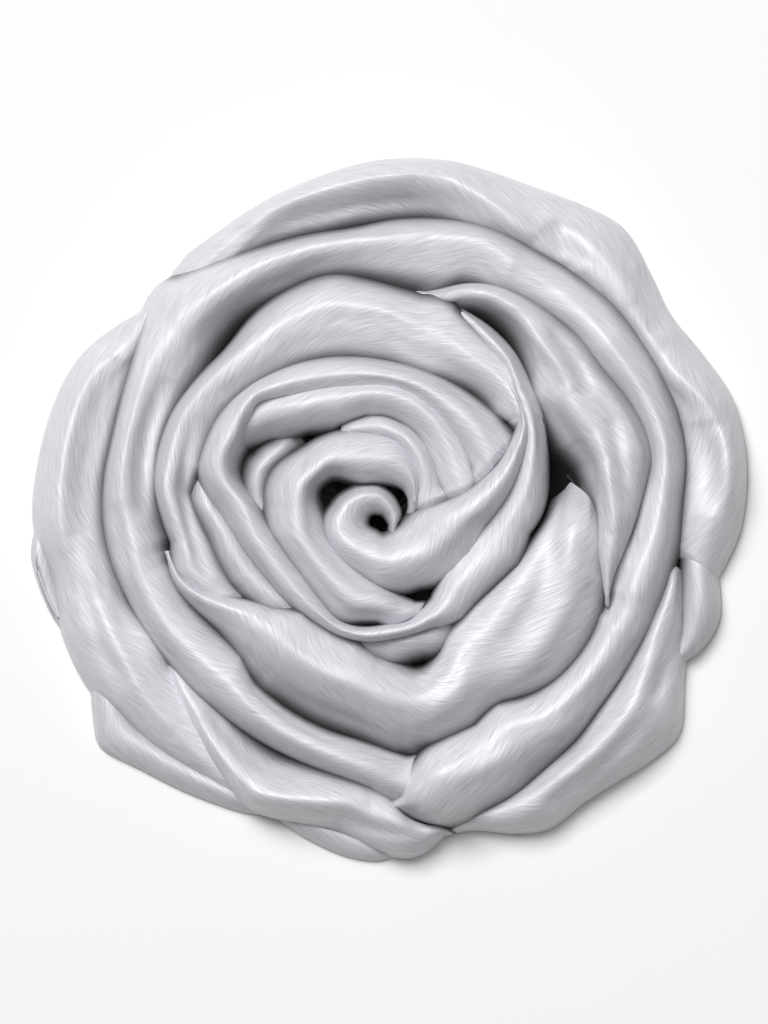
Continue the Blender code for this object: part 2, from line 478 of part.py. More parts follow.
# Each pair names the stretch that lies on top, then the one that it covers.
COVERS = (
    ("inner_sweep", "centre_curl"),
    ("inner_roll", "centre_curl"),
    ("inner_loop", "centre_curl"),
    ("inner_sweep", "inner_roll"),
    ("inner_roll", "inner_loop"),
    ("inner_loop", "inner_sweep"),
    ("inner_sweep", "nested_strand"),
    ("inner_roll", "nested_strand"),
    ("inner_sweep", "upper_arm_inner"),
    ("inner_sweep", "upper_arm_outer"),
    ("nested_strand", "upper_arm_inner"),
    ("inner_roll", "upper_arm_inner"),
    ("inner_loop", "upper_arm_inner"),
    ("upper_arm_outer", "upper_arm_inner"),
    ("second_loop", "upper_arm_inner"),
    ("second_loop", "upper_arm_outer"),
    ("inner_sweep", "second_loop"),
    ("inner_loop", "second_loop"),
    ("inner_sweep", "second_loop_rise"),
    ("second_loop", "second_loop_rise"),
    ("inner_sweep", "third_ring"),
    ("upper_arm_outer", "third_ring"),
    ("upper_arm_outer", "second_loop_rise"),
    ("second_loop", "third_ring"),
    ("second_loop_rise", "third_ring"),
    ("second_loop", "shaded_strand"),
    ("third_ring", "shaded_strand"),
    ("petal_left", "shaded_strand"),
    ("second_loop", "peeking_strand"),
    ("inner_loop", "peeking_strand"),
    ("upper_arm_inner", "peeking_strand"),
    ("second_loop", "lower_strand"),
    ("petal_left", "lower_strand"),
    ("petal_right", "lower_strand"),
    ("second_loop", "petal_left"),
    ("second_loop", "petal_right"),
    ("second_loop_rise", "petal_right"),
    ("petal_left", "petal_right"),
    ("petal_left", "third_ring"),
    ("petal_left", "left_ring"),
    ("third_ring", "left_ring"),
    ("third_ring", "top_ring"),
    ("third_ring", "right_ring"),
    ("third_ring", "outer_ring_right"),
    ("second_loop_rise", "right_ring"),
    ("right_ring", "petal_right"),
    ("right_ring", "outer_ring_right"),
    ("right_ring", "bottom_ring"),
    ("right_ring", "top_ring"),
    ("petal_right", "bottom_ring"),
    ("petal_left", "bottom_ring"),
    ("bottom_ring", "left_ring"),
    ("bottom_ring", "bottom_swirl"),
    ("bottom_ring", "bottom_flounce"),
    ("outer_ring_right", "bottom_ring"),
    ("top_ring", "outer_ring_right"),
    ("top_ring", "left_ring"),
    ("top_ring", "crown"),
    ("top_ring", "crown_right"),
    ("top_ring", "left_flounce"),
    ("outer_ring_right", "crown"),
    ("outer_ring_right", "crown_right"),
    ("outer_ring_right", "right_flounce"),
    ("outer_ring_right", "right_tail"),
    ("outer_ring_right", "bottom_flounce"),
    ("left_ring", "left_flounce"),
    ("left_ring", "bottom_swirl"),
    ("crown", "crown_right"),
    ("crown", "left_flounce"),
    ("crown_right", "right_flounce"),
    ("right_flounce", "right_tail"),
    ("bottom_flounce", "right_tail"),
    ("bottom_flounce", "bottom_swirl"),
    ("bottom_swirl", "left_flounce"),
    ("left_flounce", "left_tail"),
    ("left_flounce", "lower_left_tail"),
    ("bottom_swirl", "lower_left_tail"),
    ("bottom_swirl", "bottom_tail"),
)

OUTERMOST = (
    "crown",
    "crown_right",
    "right_flounce",
    "right_tail",
    "bottom_flounce",
    "bottom_swirl",
    "left_flounce",
)


def clear_scene():
    """Removes the objects that the file opens with."""
    for obj in list(bpy.data.objects):
        bpy.data.objects.remove(obj, do_unlink=True)


def satin(name, grey, roughness):
    """A silver-grey satin, slightly bluer than neutral."""
    material = bpy.data.materials.new(name)
    material.use_nodes = True
    shader = material.node_tree.nodes["Principled BSDF"]
    shader.inputs["Base Color"].default_value = (grey, grey, grey * 1.04, 1)
    shader.inputs["Roughness"].default_value = roughness
    shader.inputs["Metallic"].default_value = 0.0
    return material


def place(degrees, radius_mm):
    """A plan position, in mm, from an angle and a radius about the eye."""
    angle = math.radians(degrees)
    return (
        EYE_X_MM + radius_mm * math.cos(angle),
        EYE_Y_MM + radius_mm * math.sin(angle),
    )


def smooth_value(before, start, end, after, share):
    """Catmull-Rom between start and end."""
    return 0.5 * (
        2 * start
        + (end - before) * share
        + (2 * before - 5 * start + 4 * end - after) * share**2
        + (3 * start - before - 3 * end + after) * share**3
    )


def stations(rows):
    """Evenly spaced stations: inner edge x, y, outer edge x, y, heights, crest share."""
    keys = [
        (
            *place(row.in_deg, row.in_mm),
            *place(row.out_deg, row.out_mm),
            row.in_z,
            row.crest_z,
            row.out_z,
            row.crest_at,
        )
        for row in rows
    ]
    made = []
    for i in range(len(keys) - 1):
        four = [keys[max(i - 1, 0)], keys[i], keys[i + 1], keys[min(i + 2, len(keys) - 1)]]
        gap = math.dist(
            [(a + b) / 2 for a, b in zip(four[1][:2], four[1][2:4])],
            [(a + b) / 2 for a, b in zip(four[2][:2], four[2][2:4])],
        )
        steps = max(1, round(gap / STATION_STEP_MM))
        for step in range(steps):
            share = step / steps
            made.append([smooth_value(*values, share) for values in zip(*four)])
    made.append(list(keys[-1]))
    return made


def in_plan(x, y, made):
    """Whether a place lies in the plan of a stretch with these stations."""
    for here, there in zip(made, made[1:]):
        corners = (here[:2], here[2:4], there[2:4], there[:2])
        turns = [
            (b[0] - a[0]) * (y - a[1]) - (b[1] - a[1]) * (x - a[0])
            for a, b in zip(corners, corners[1:] + corners[:1])
        ]
        if all(turn >= 0 for turn in turns) or all(turn <= 0 for turn in turns):
            return True
    return False


def middle_of(station):
    """The plan position half way across a station."""
    in_x, in_y, out_x, out_y = station[:4]
    return (in_x + out_x) / 2, (in_y + out_y) / 2


def run_on(station, beside, covered):
    """Moves the end of a stretch on by the tuck, away from its neighbour, if it is covered."""
    x, y = middle_of(station)
    from_x, from_y = middle_of(beside)
    length = math.hypot(x - from_x, y - from_y)
    dx = (x - from_x) / length * TUCK_MM
    dy = (y - from_y) / length * TUCK_MM
    if covered(x + dx, y + dy):
        in_x, in_y, out_x, out_y = station[:4]
        station[0:4] = in_x + dx, in_y + dy, out_x + dx, out_y + dy


def tucked(name):
    """The stations of a stretch, run on a little where another stretch lies on its edge."""
    above = [stations(STRETCHES[upper]) for upper, lower in COVERS if lower == name]
    made = stations(STRETCHES[name])

    def covered(x, y):
        return any(in_plan(x, y, other) for other in above)

    for station in made:
        in_x, in_y, out_x, out_y = station[:4]
        width = math.hypot(out_x - in_x, out_y - in_y)
        dx = (out_x - in_x) / width * TUCK_MM
        dy = (out_y - in_y) / width * TUCK_MM
        if covered(in_x - dx, in_y - dy):
            station[0:2] = in_x - dx, in_y - dy
        if covered(out_x + dx, out_y + dy):
            station[2:4] = out_x + dx, out_y + dy
    run_on(made[0], made[1], covered)
    run_on(made[-1], made[-2], covered)
    return made


def fold_height(name, along, across, length_mm, width_mm):
    """What the stretch's folds add to its height at these shares, in mm."""
    height = 0.0
    for fold in FOLDS:
        if fold.stretch != name:
            continue
        run = (fold.end_along - fold.start_along) * length_mm
        rise = (fold.end_across - fold.start_across) * width_mm
        dx = (along - fold.start_along) * length_mm
        dy = (across - fold.start_across) * width_mm
        share = (dx * run + dy * rise) / (run * run + rise * rise)
        nearest = min(max(share, 0.0), 1.0)
        distance = math.hypot(dx - nearest * run, dy - nearest * rise)
        ends = math.sin(math.pi * nearest) ** 0.5
        height += fold.height_mm * ends * math.exp(-((distance / fold.width_mm) ** 2))
    return height


def arch(station, inset_mm, facets, fold):
    """Points of one arched section in metres, from its inner to its outer edge."""
    in_x, in_y, out_x, out_y, in_z, crest_z, out_z, crest_at = station
    width = math.hypot(out_x - in_x, out_y - in_y)
    inset = min(inset_mm, width * 0.35)
    low = inset / width
    points = []
    for i in range(facets + 1):
        turn = math.pi * i / facets
        if 2 * i <= facets:
            share = crest_at * (1 - math.cos(turn))
            edge_z = in_z
        else:
            share = 1 - (1 - crest_at) * (1 - math.cos(math.pi - turn))
            edge_z = out_z
        across = low + (1 - 2 * low) * share
        top = max(crest_z - inset_mm, THINNEST_MM)
        rim = max(edge_z, 0.0)
        z = rim + (top - rim + fold(across)) * math.sin(turn)
        points.append(
            Vector((in_x + (out_x - in_x) * across, in_y + (out_y - in_y) * across, z)) * MM
        )
    return points


def new_object(name, points, faces, collection):
    """An object with its faces turned outwards, in the collection."""
    mesh = bpy.data.meshes.new(name)
    mesh.from_pydata(points, [], faces)
    work = bmesh.new()
    work.from_mesh(mesh)
    bmesh.ops.recalc_face_normals(work, faces=work.faces)
    work.to_mesh(mesh)
    work.free()
    obj = bpy.data.objects.new(name, mesh)
    collection.objects.link(obj)
    return obj


def loft(name, rings, collection):
    """A closed solid through equal rings of points, its two ends filled."""
    count = len(rings[0])
    points = [point for ring in rings for point in ring]
    faces = []
    for i in range(len(rings) - 1):
        here, there = i * count, (i + 1) * count
        for j in range(count):
            k = (j + 1) % count
            faces.append((here + j, here + k, there + k, there + j))
    faces.append(tuple(range(count)))
    last = (len(rings) - 1) * count
    faces.append(tuple(last + j for j in reversed(range(count))))
    return new_object(name, points, faces, collection)


def wall_of(name, collection):
    """The arched wall of cloth of one stretch."""
    made = tucked(name)
    middles = [middle_of(station) for station in made]
    length = sum(math.dist(a, b) for a, b in zip(middles, middles[1:]))
    rings = []
    for i, station in enumerate(made):
        along = i / (len(made) - 1)
        width = math.dist(station[:2], station[2:4])

        def fold(across, along=along, width=width):
            return fold_height(name, along, across, length, width)

        outer = arch(station, 0.0, OUTER_FACETS, fold)
        inner = arch(station, WALL_MM, INNER_FACETS, fold)
        rings.append(outer + inner[::-1])
    return loft(name, rings, collection)


def cutter_of(name, collection):
    """An upright prism over the plan of a stretch, grown by the seam gap."""
    made = tucked(name)
    rings = []
    for i, (in_x, in_y, out_x, out_y, *_) in enumerate(made):
        middle = Vector(middle_of(made[i]))
        across = Vector((out_x - in_x, out_y - in_y)).normalized() * SEAM_MM
        slide = Vector((0, 0))
        if i in (0, len(made) - 1):
            inward = Vector(middle_of(made[1] if i == 0 else made[-2]))
            slide = (middle - inward).normalized() * SEAM_MM
        first = Vector((in_x, in_y)) - across + slide
        second = Vector((out_x, out_y)) + across + slide
        rings.append(
            [
                Vector((first.x, first.y, -CUTTER_DEPTH_MM)) * MM,
                Vector((first.x, first.y, CUTTER_HEIGHT_MM)) * MM,
                Vector((second.x, second.y, CUTTER_HEIGHT_MM)) * MM,
                Vector((second.x, second.y, -CUTTER_DEPTH_MM)) * MM,
            ]
        )
    cutter = loft(name + "_plan", rings, collection)
    cutter.hide_render = True
    cutter.display_type = "WIRE"
    return cutter


def keep_largest(mesh):
    """Drops the offcuts that lie under the stretch above."""
    work = bmesh.new()
    work.from_mesh(mesh)
    bmesh.ops.remove_doubles(work, verts=work.verts, dist=WELD_MM * MM)
    bmesh.ops.dissolve_degenerate(work, edges=work.edges, dist=WELD_MM * MM)
    left = set(work.faces)
    islands = []
    while left:
        island = set()
        edge_faces = [left.pop()]
        while edge_faces:
            face = edge_faces.pop()
            island.add(face)
            for edge in face.edges:
                for other in edge.link_faces:
                    if other in left:
                        left.discard(other)
                        edge_faces.append(other)
        islands.append(island)
    islands.sort(key=lambda island: sum(face.calc_area() for face in island))
    offcuts = [face for island in islands[:-1] for face in island]
    bmesh.ops.delete(work, geom=offcuts, context="FACES")
    work.to_mesh(mesh)
    work.free()


def cut_walls(walls, cutters):
    """Trims each wall where another stretch covers it."""
    for upper, lower in COVERS:
        trim = walls[lower].modifiers.new(upper, "BOOLEAN")
        trim.operation = "DIFFERENCE"
        trim.object = cutters[upper]
    bpy.context.view_layer.update()
    graph = bpy.context.evaluated_depsgraph_get()
    trimmed = {
        name: bpy.data.meshes.new_from_object(wall.evaluated_get(graph))
        for name, wall in walls.items()
    }
    for name, mesh in trimmed.items():
        walls[name].modifiers.clear()
        walls[name].data = mesh
        mesh.name = name
        keep_largest(mesh)


def lowest_walls(walls):
    """Heights in mm of the lowest cloth over a fine square grid, where there is any."""
    points, faces = [], []
    for wall in walls.values():
        start = len(points)
        points += [vertex.co for vertex in wall.data.vertices]
        wall.data.calc_loop_triangles()
        faces += [[start + i for i in tri.vertices] for tri in wall.data.loop_triangles]
    tree = BVHTree.FromPolygons(points, faces)
    heights = {}
    cells = int(SAMPLED_REACH_MM / SAMPLE_MM)
    for i in range(-cells, cells + 1):
        for j in range(-cells, cells + 1):
            start = Vector((i * SAMPLE_MM, j * SAMPLE_MM, -5)) * MM
            hit = tree.ray_cast(start, Vector((0, 0, 1)))[0]
            if hit is not None:
                heights[i, j] = hit.z / MM
    return heights


def core_height(heights, x_mm, y_mm):
    """The height in mm that stays clear under every wall near this place."""
    cells = int(CORE_REACH_MM / SAMPLE_MM) + 1
    i0, j0 = round(x_mm / SAMPLE_MM), round(y_mm / SAMPLE_MM)
    lowest = CORE_TOP_MM
    for i in range(i0 - cells, i0 + cells + 1):
        for j in range(j0 - cells, j0 + cells + 1):
            if math.hypot(i * SAMPLE_MM - x_mm, j * SAMPLE_MM - y_mm) <= CORE_REACH_MM:
                lowest = min(lowest, heights.get((i, j), CORE_TOP_MM))
    return max(lowest - CORE_CLEARANCE_MM, CORE_LEAST_MM)


def rim_mm(degrees):
    """How far the rosette reaches on this bearing from the origin."""
    bearing = math.radians(degrees)
    reach = 0.0
    for name in OUTERMOST:
        for station in stations(STRETCHES[name]):
            for x, y in (station[:2], station[2:4]):
                turn = abs((math.atan2(y, x) - bearing + math.pi) % math.tau - math.pi)
                if turn < RIM_WINDOW:
                    reach = max(reach, math.hypot(x, y))
    return reach


def hidden_layers(walls, collection):
    """The rounded core: a flat underside, and a top that follows the cloth above."""
    heights = lowest_walls(walls)
    spokes = [360 * j / CORE_SPOKES for j in range(CORE_SPOKES)]
    rims = [rim_mm(degrees) for degrees in spokes]
    rims = [
        min(rims[j - 1], rims[j], rims[(j + 1) % CORE_SPOKES]) - CORE_INSET_MM
        for j in range(CORE_SPOKES)
    ]
    points = [Vector((0, 0, core_height(heights, 0, 0))) * MM]
    for ring in range(1, CORE_RINGS + 1):
        for degrees, rim in zip(spokes, rims):
            radius = rim * ring / CORE_RINGS
            x = radius * math.cos(math.radians(degrees))
            y = radius * math.sin(math.radians(degrees))
            points.append(Vector((x, y, core_height(heights, x, y))) * MM)
    base = len(points)
    for point in points[base - CORE_SPOKES : base]:
        points.append(Vector((point.x, point.y, 0)))
    faces = []
    for j in range(CORE_SPOKES):
        k = (j + 1) % CORE_SPOKES
        faces.append((0, 1 + j, 1 + k))
        for ring in range(CORE_RINGS):
            here = 1 + ring * CORE_SPOKES
            there = here + CORE_SPOKES
            faces.append((here + j, there + j, there + k, here + k))
    faces.append(tuple(base + j for j in reversed(range(CORE_SPOKES))))
    return new_object("hidden_layers", points, faces, collection)


def main():
    """Builds the walls, trims them where they are covered, and fills in the core."""
    clear_scene()
    cloth = bpy.data.collections.new("hijab")
    plans = bpy.data.collections.new("cutters")
    for collection in (cloth, plans):
        bpy.context.scene.collection.children.link(collection)
    walls = {name: wall_of(name, cloth) for name in STRETCHES}
    cutters = {name: cutter_of(name, plans) for name in STRETCHES}
    cut_walls(walls, cutters)
    core = hidden_layers(walls, cloth)
    for name, wall in walls.items():
        wall.data.materials.append(satin(name + "_satin", 0.58, 0.42))
        wall.data.shade_smooth()
        wall.data.set_sharp_from_angle(angle=SMOOTH_ANGLE)
    core.data.materials.append(satin("hidden_satin", 0.4, 0.55))
    core.data.shade_smooth()
    for cutter in cutters.values():
        bpy.data.objects.remove(cutter, do_unlink=True)


main()
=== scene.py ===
"""A silver-grey satin hijab, twisted lengthways and wound flat into a rosette.

Each strand of the wound scarf is a fine arched surface of cloth. Its sections
are given in bearings and radii about the eye of the rosette, in millimetres,
with +X to the right and +Y to the top of the view from above. Folds lie on a
strand as soft ridges and troughs. The finished pieces are in metres.
"""

from __future__ import annotations

import logging
import math
from dataclasses import astuple, dataclass
from enum import Enum
from typing import ClassVar

import bmesh
import bpy
import numpy as np
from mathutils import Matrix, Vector, noise

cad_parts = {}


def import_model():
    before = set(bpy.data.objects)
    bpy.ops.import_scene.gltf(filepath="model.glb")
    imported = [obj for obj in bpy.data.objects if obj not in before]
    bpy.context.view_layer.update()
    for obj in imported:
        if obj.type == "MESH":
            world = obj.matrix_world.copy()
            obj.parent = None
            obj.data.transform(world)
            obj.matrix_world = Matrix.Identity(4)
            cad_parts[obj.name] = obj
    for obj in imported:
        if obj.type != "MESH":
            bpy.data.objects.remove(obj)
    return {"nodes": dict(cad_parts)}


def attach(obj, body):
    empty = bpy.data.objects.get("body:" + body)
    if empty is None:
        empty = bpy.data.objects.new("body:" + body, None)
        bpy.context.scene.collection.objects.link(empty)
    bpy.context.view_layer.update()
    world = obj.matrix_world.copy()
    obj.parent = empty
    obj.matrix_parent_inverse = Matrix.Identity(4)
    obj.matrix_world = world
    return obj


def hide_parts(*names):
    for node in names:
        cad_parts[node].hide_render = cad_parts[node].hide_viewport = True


LOG = logging.getLogger("hijab")
MM = 0.001
MM_PER_CM = 10
CM_PER_M = 100
PIXEL_MM = 0.35
VIEW_PIXELS = (768, 1024)
EYE_PIXEL = (378, 520)
EYE_MM = (-3.91, -3.356)
CLOTH_MM = 0.45
# The least that a length is divided by.
TINY = 1e-9

# Columns of a strand's stations: places of both edges, heights, where the crest stands, and bends.
IN_XY = slice(0, 2)
OUT_XY = slice(2, 4)
IN_Z = slice(4, 5)
CREST_Z = slice(5, 6)
OUT_Z = slice(6, 7)
HEIGHTS = slice(4, 7)
CREST_AT = slice(7, 8)
IN_BEND = slice(8, 9)
OUT_BEND = slice(9, 10)


class OwnTop(Enum):
    """Which end of a strand lies on top where it crosses itself."""

    NONE = "none"
    START = "start"
    END = "end"


@dataclass(frozen=True)
class Section:
    """One section across a strand.

    Args:
        in_deg: bearing of the inner edge about the eye, in degrees.
        in_mm: radius of the inner edge.
        out_deg: bearing of the outer edge.
        out_mm: radius of the outer edge.
        in_z: height of the cloth at the inner edge.
        crest_z: height of the crest.
        out_z: height of the cloth at the outer edge.
        crest_at: where the crest stands, as a share of the width.
        in_bend: how much the inner flank is hollowed, from 0 for full and round to about 5.
        out_bend: how much the outer flank is hollowed.
    """

    in_deg: float
    in_mm: float
    out_deg: float
    out_mm: float
    in_z: float
    crest_z: float
    out_z: float
    crest_at: float = 0.5
    in_bend: float = 0.0
    out_bend: float = 0.0


@dataclass(frozen=True)
class Fold:
    """A soft ridge on a strand, or a trough where the height is negative.

    Args:
        start: bearing and radius of its first end, in degrees and mm.
        end: bearing and radius of its last end.
        width_mm: how far from its line it has faded to about a third.
        height_mm: height at the middle of its run.
        bow_mm: how far its middle lies off the straight line, outwards.
    """

    start: tuple[float, float]
    end: tuple[float, float]
    width_mm: float
    height_mm: float
    bow_mm: float = 0.0
    # How many points its line has, and how full it stays towards its ends.
    line_points: ClassVar[int] = 33
    fade_power: ClassVar[float] = 0.6

    def heights(self, points: np.ndarray) -> np.ndarray:
        """Finds what the fold adds to the height at plan points.

        Args:
            points: plan positions in mm, one a row.

        Returns:
            Heights in mm.
        """
        steps = np.linspace(0, 1, self.line_points)
        sweep = (self.end[0] - self.start[0] + 180) % 360 - 180
        radii = self.start[1] + (self.end[1] - self.start[1]) * steps
        line = plan_point(
            self.start[0] + sweep * steps, radii + self.bow_mm * np.sin(np.pi * steps)
        )
        nearest = np.full(len(points), np.inf)
        share = np.zeros(len(points))
        for i, (a, b) in enumerate(zip(line, line[1:])):
            run = b - a
            t = np.clip(((points - a) @ run) / max(float(run @ run), TINY), 0, 1)
            gap = np.hypot(*(points - a - t[:, None] * run).T)
            closer = gap < nearest
            nearest[closer] = gap[closer]
            share[closer] = steps[i] + t[closer] * steps[1]
        fade = np.sin(np.pi * share) ** self.fade_power
        return self.height_mm * fade * np.exp(-((nearest / self.width_mm) ** 2))


@dataclass(frozen=True)
class Wrinkles:
    """One size of fine wrinkles, drawn out along a strand.

    Args:
        long_mm: how long they are.
        wide_mm: how wide they are.
        share: their height against the largest ones'.
        apart: how far one strand's pattern lies from the next one's.
        first: where the first pattern lies.
    """

    long_mm: float
    wide_mm: float
    share: float
    apart: float
    first: float

    def height(self, along: float, across: float, seed: int) -> float:
        """Reads the height at one place on the strand that has this seed."""
        place = (along / self.long_mm, across / self.wide_mm, seed * self.apart + self.first)
        return self.share * noise.noise(Vector(place))


@dataclass(frozen=True)
class Cover:
    """Says that one strand lies on another between two bearings.

    Args:
        over: the strand on top.
        under: the strand that it covers.
        start_deg: where this begins, counter-clockwise.
        end_deg: where this ends.
    """

    over: str
    under: str
    start_deg: float = 0.0
    end_deg: float = 360.0

    def holds(self, bearing: np.ndarray) -> np.ndarray:
        """Says at which bearings the cover holds."""
        span = (self.end_deg - self.start_deg) % 360 or 360.0
        return (bearing - self.start_deg) % 360 <= span


def hex_colour(code: str) -> tuple[float, float, float, float]:
    """Turns an sRGB hex code into linear RGBA by the sRGB curve.

    Args:
        code: six hex digits after a hash sign.

    Returns:
        The linear colour, fully opaque.
    """
    channels = []
    for i in (1, 3, 5):
        value = int(code[i : i + 2], 16) / 255
        channels.append(value / 12.92 if value <= 0.04045 else ((value + 0.055) / 1.055) ** 2.4)
    return (channels[0], channels[1], channels[2], 1.0)


def add_node(
    tree: bpy.types.NodeTree,
    kind: str,
    settings: dict[str, object] | None = None,
    **links: object,
) -> bpy.types.Node:
    """Adds a node with its settings and its inputs.

    Args:
        tree: the tree that gets the node.
        kind: Blender's name of the node type.
        settings: properties of the node itself.
        links: an input's name with underscores for spaces, or an underscore and its
            number, each with a value or with the output socket that feeds it.

    Returns:
        The new node.
    """
    node = tree.nodes.new(kind)
    for key, value in (settings or {}).items():
        setattr(node, key, value)
    for key, value in links.items():
        number = key[1:]
        socket = node.inputs[int(number) if number.isdigit() else key.replace("_", " ")]
        if isinstance(value, bpy.types.NodeSocket):
            tree.links.new(value, socket)
        else:
            socket.default_value = value
    return node


def placed(name: str, data: bpy.types.ID) -> bpy.types.Object:
    """Makes an object and puts it in the scene.

    Args:
        name: its name.
        data: its mesh, lamp or camera.

    Returns:
        The object, at the origin.
    """
    obj = bpy.data.objects.new(name, data)
    bpy.context.scene.collection.objects.link(obj)
    return obj


def plan_point(degrees: np.ndarray, radius: np.ndarray) -> np.ndarray:
    """Finds plan positions in mm from bearings and radii about the eye."""
    angle = np.radians(degrees)
    return np.stack(
        [EYE_MM[0] + radius * np.cos(angle), EYE_MM[1] + radius * np.sin(angle)], axis=-1
    )


def smooth_steps(values: np.ndarray, reach: int) -> np.ndarray:
    """Averages a row of values over a moving window.

    Args:
        values: the row.
        reach: how many values the window takes in on each side.

    Returns:
        The averages, one for each value.
    """
    if reach < 1:
        return values
    padded = np.concatenate([np.repeat(values[:1], reach), values, np.repeat(values[-1:], reach)])
    window = np.ones(2 * reach + 1) / (2 * reach + 1)
    return np.convolve(padded, window, mode="valid")


def curve_between(keys: np.ndarray, i: int, step_mm: float) -> np.ndarray:
    """Runs a Catmull-Rom curve from one section to the next.

    Args:
        keys: a row of values for each section, which begins with both edges' places.
        i: which section the curve starts from.
        step_mm: spacing of its stations.

    Returns:
        A row for each station, from the first section up to the last one before the next.
    """
    before, start = keys[max(i - 1, 0)], keys[i]
    end, after = keys[i + 1], keys[min(i + 2, len(keys) - 1)]
    gap = (start[IN_XY] + start[OUT_XY] - end[IN_XY] - end[OUT_XY]) / 2
    count = max(2, round(float(np.hypot(*gap)) / step_mm))
    t = (np.arange(count) / count)[:, None]
    slope = end - before
    square = 2 * before - 5 * start + 4 * end - after
    cube = 3 * start - before - 3 * end + after
    return 0.5 * (2 * start + slope * t + square * t**2 + cube * t**3)


def inside_plan(rows: np.ndarray, points: np.ndarray) -> np.ndarray:
    """Says which plan points lie inside a strip.

    Args:
        rows: the strip's stations.
        points: plan positions in mm, one a row.

    Returns:
        True for each point inside.
    """
    inside = np.zeros(len(points), bool)
    for here, there in zip(rows, rows[1:]):
        corners = np.array([here[IN_XY], here[OUT_XY], there[OUT_XY], there[IN_XY]])
        sides = np.roll(corners, -1, axis=0) - corners
        to_point = points[:, None, :] - corners[None]
        turns = sides[None, :, 0] * to_point[..., 1] - sides[None, :, 1] * to_point[..., 0]
        inside |= (turns >= 0).all(axis=1) | (turns <= 0).all(axis=1)
    return inside


def surface_lengths(grid: np.ndarray) -> tuple[np.ndarray, np.ndarray]:
    """Measures a grid of points along and across.

    Args:
        grid: points in rows across the strand.

    Returns:
        For each point, the distance along the strand and the distance across it.
    """
    run = np.linalg.norm(np.diff(grid, axis=0), axis=2).mean(axis=1)
    u = np.concatenate([[0.0], np.cumsum(run)])[:, None] + np.zeros((1, grid.shape[1]))
    hop = np.linalg.norm(np.diff(grid, axis=1), axis=2)
    v = np.concatenate([np.zeros((len(grid), 1)), np.cumsum(hop, axis=1)], axis=1)
    middle = grid.shape[1] // 2
    return u, v - v[:, middle : middle + 1]


def applied(obj: bpy.types.Object) -> bpy.types.Object:
    """Makes an object's modifiers part of its mesh.

    Args:
        obj: the object.

    Returns:
        The same object, with a plain mesh.
    """
    bpy.context.view_layer.update()
    graph = bpy.context.evaluated_depsgraph_get()
    mesh = bpy.data.meshes.new_from_object(obj.evaluated_get(graph))
    obj.modifiers.clear()
    obj.data = mesh
    return obj


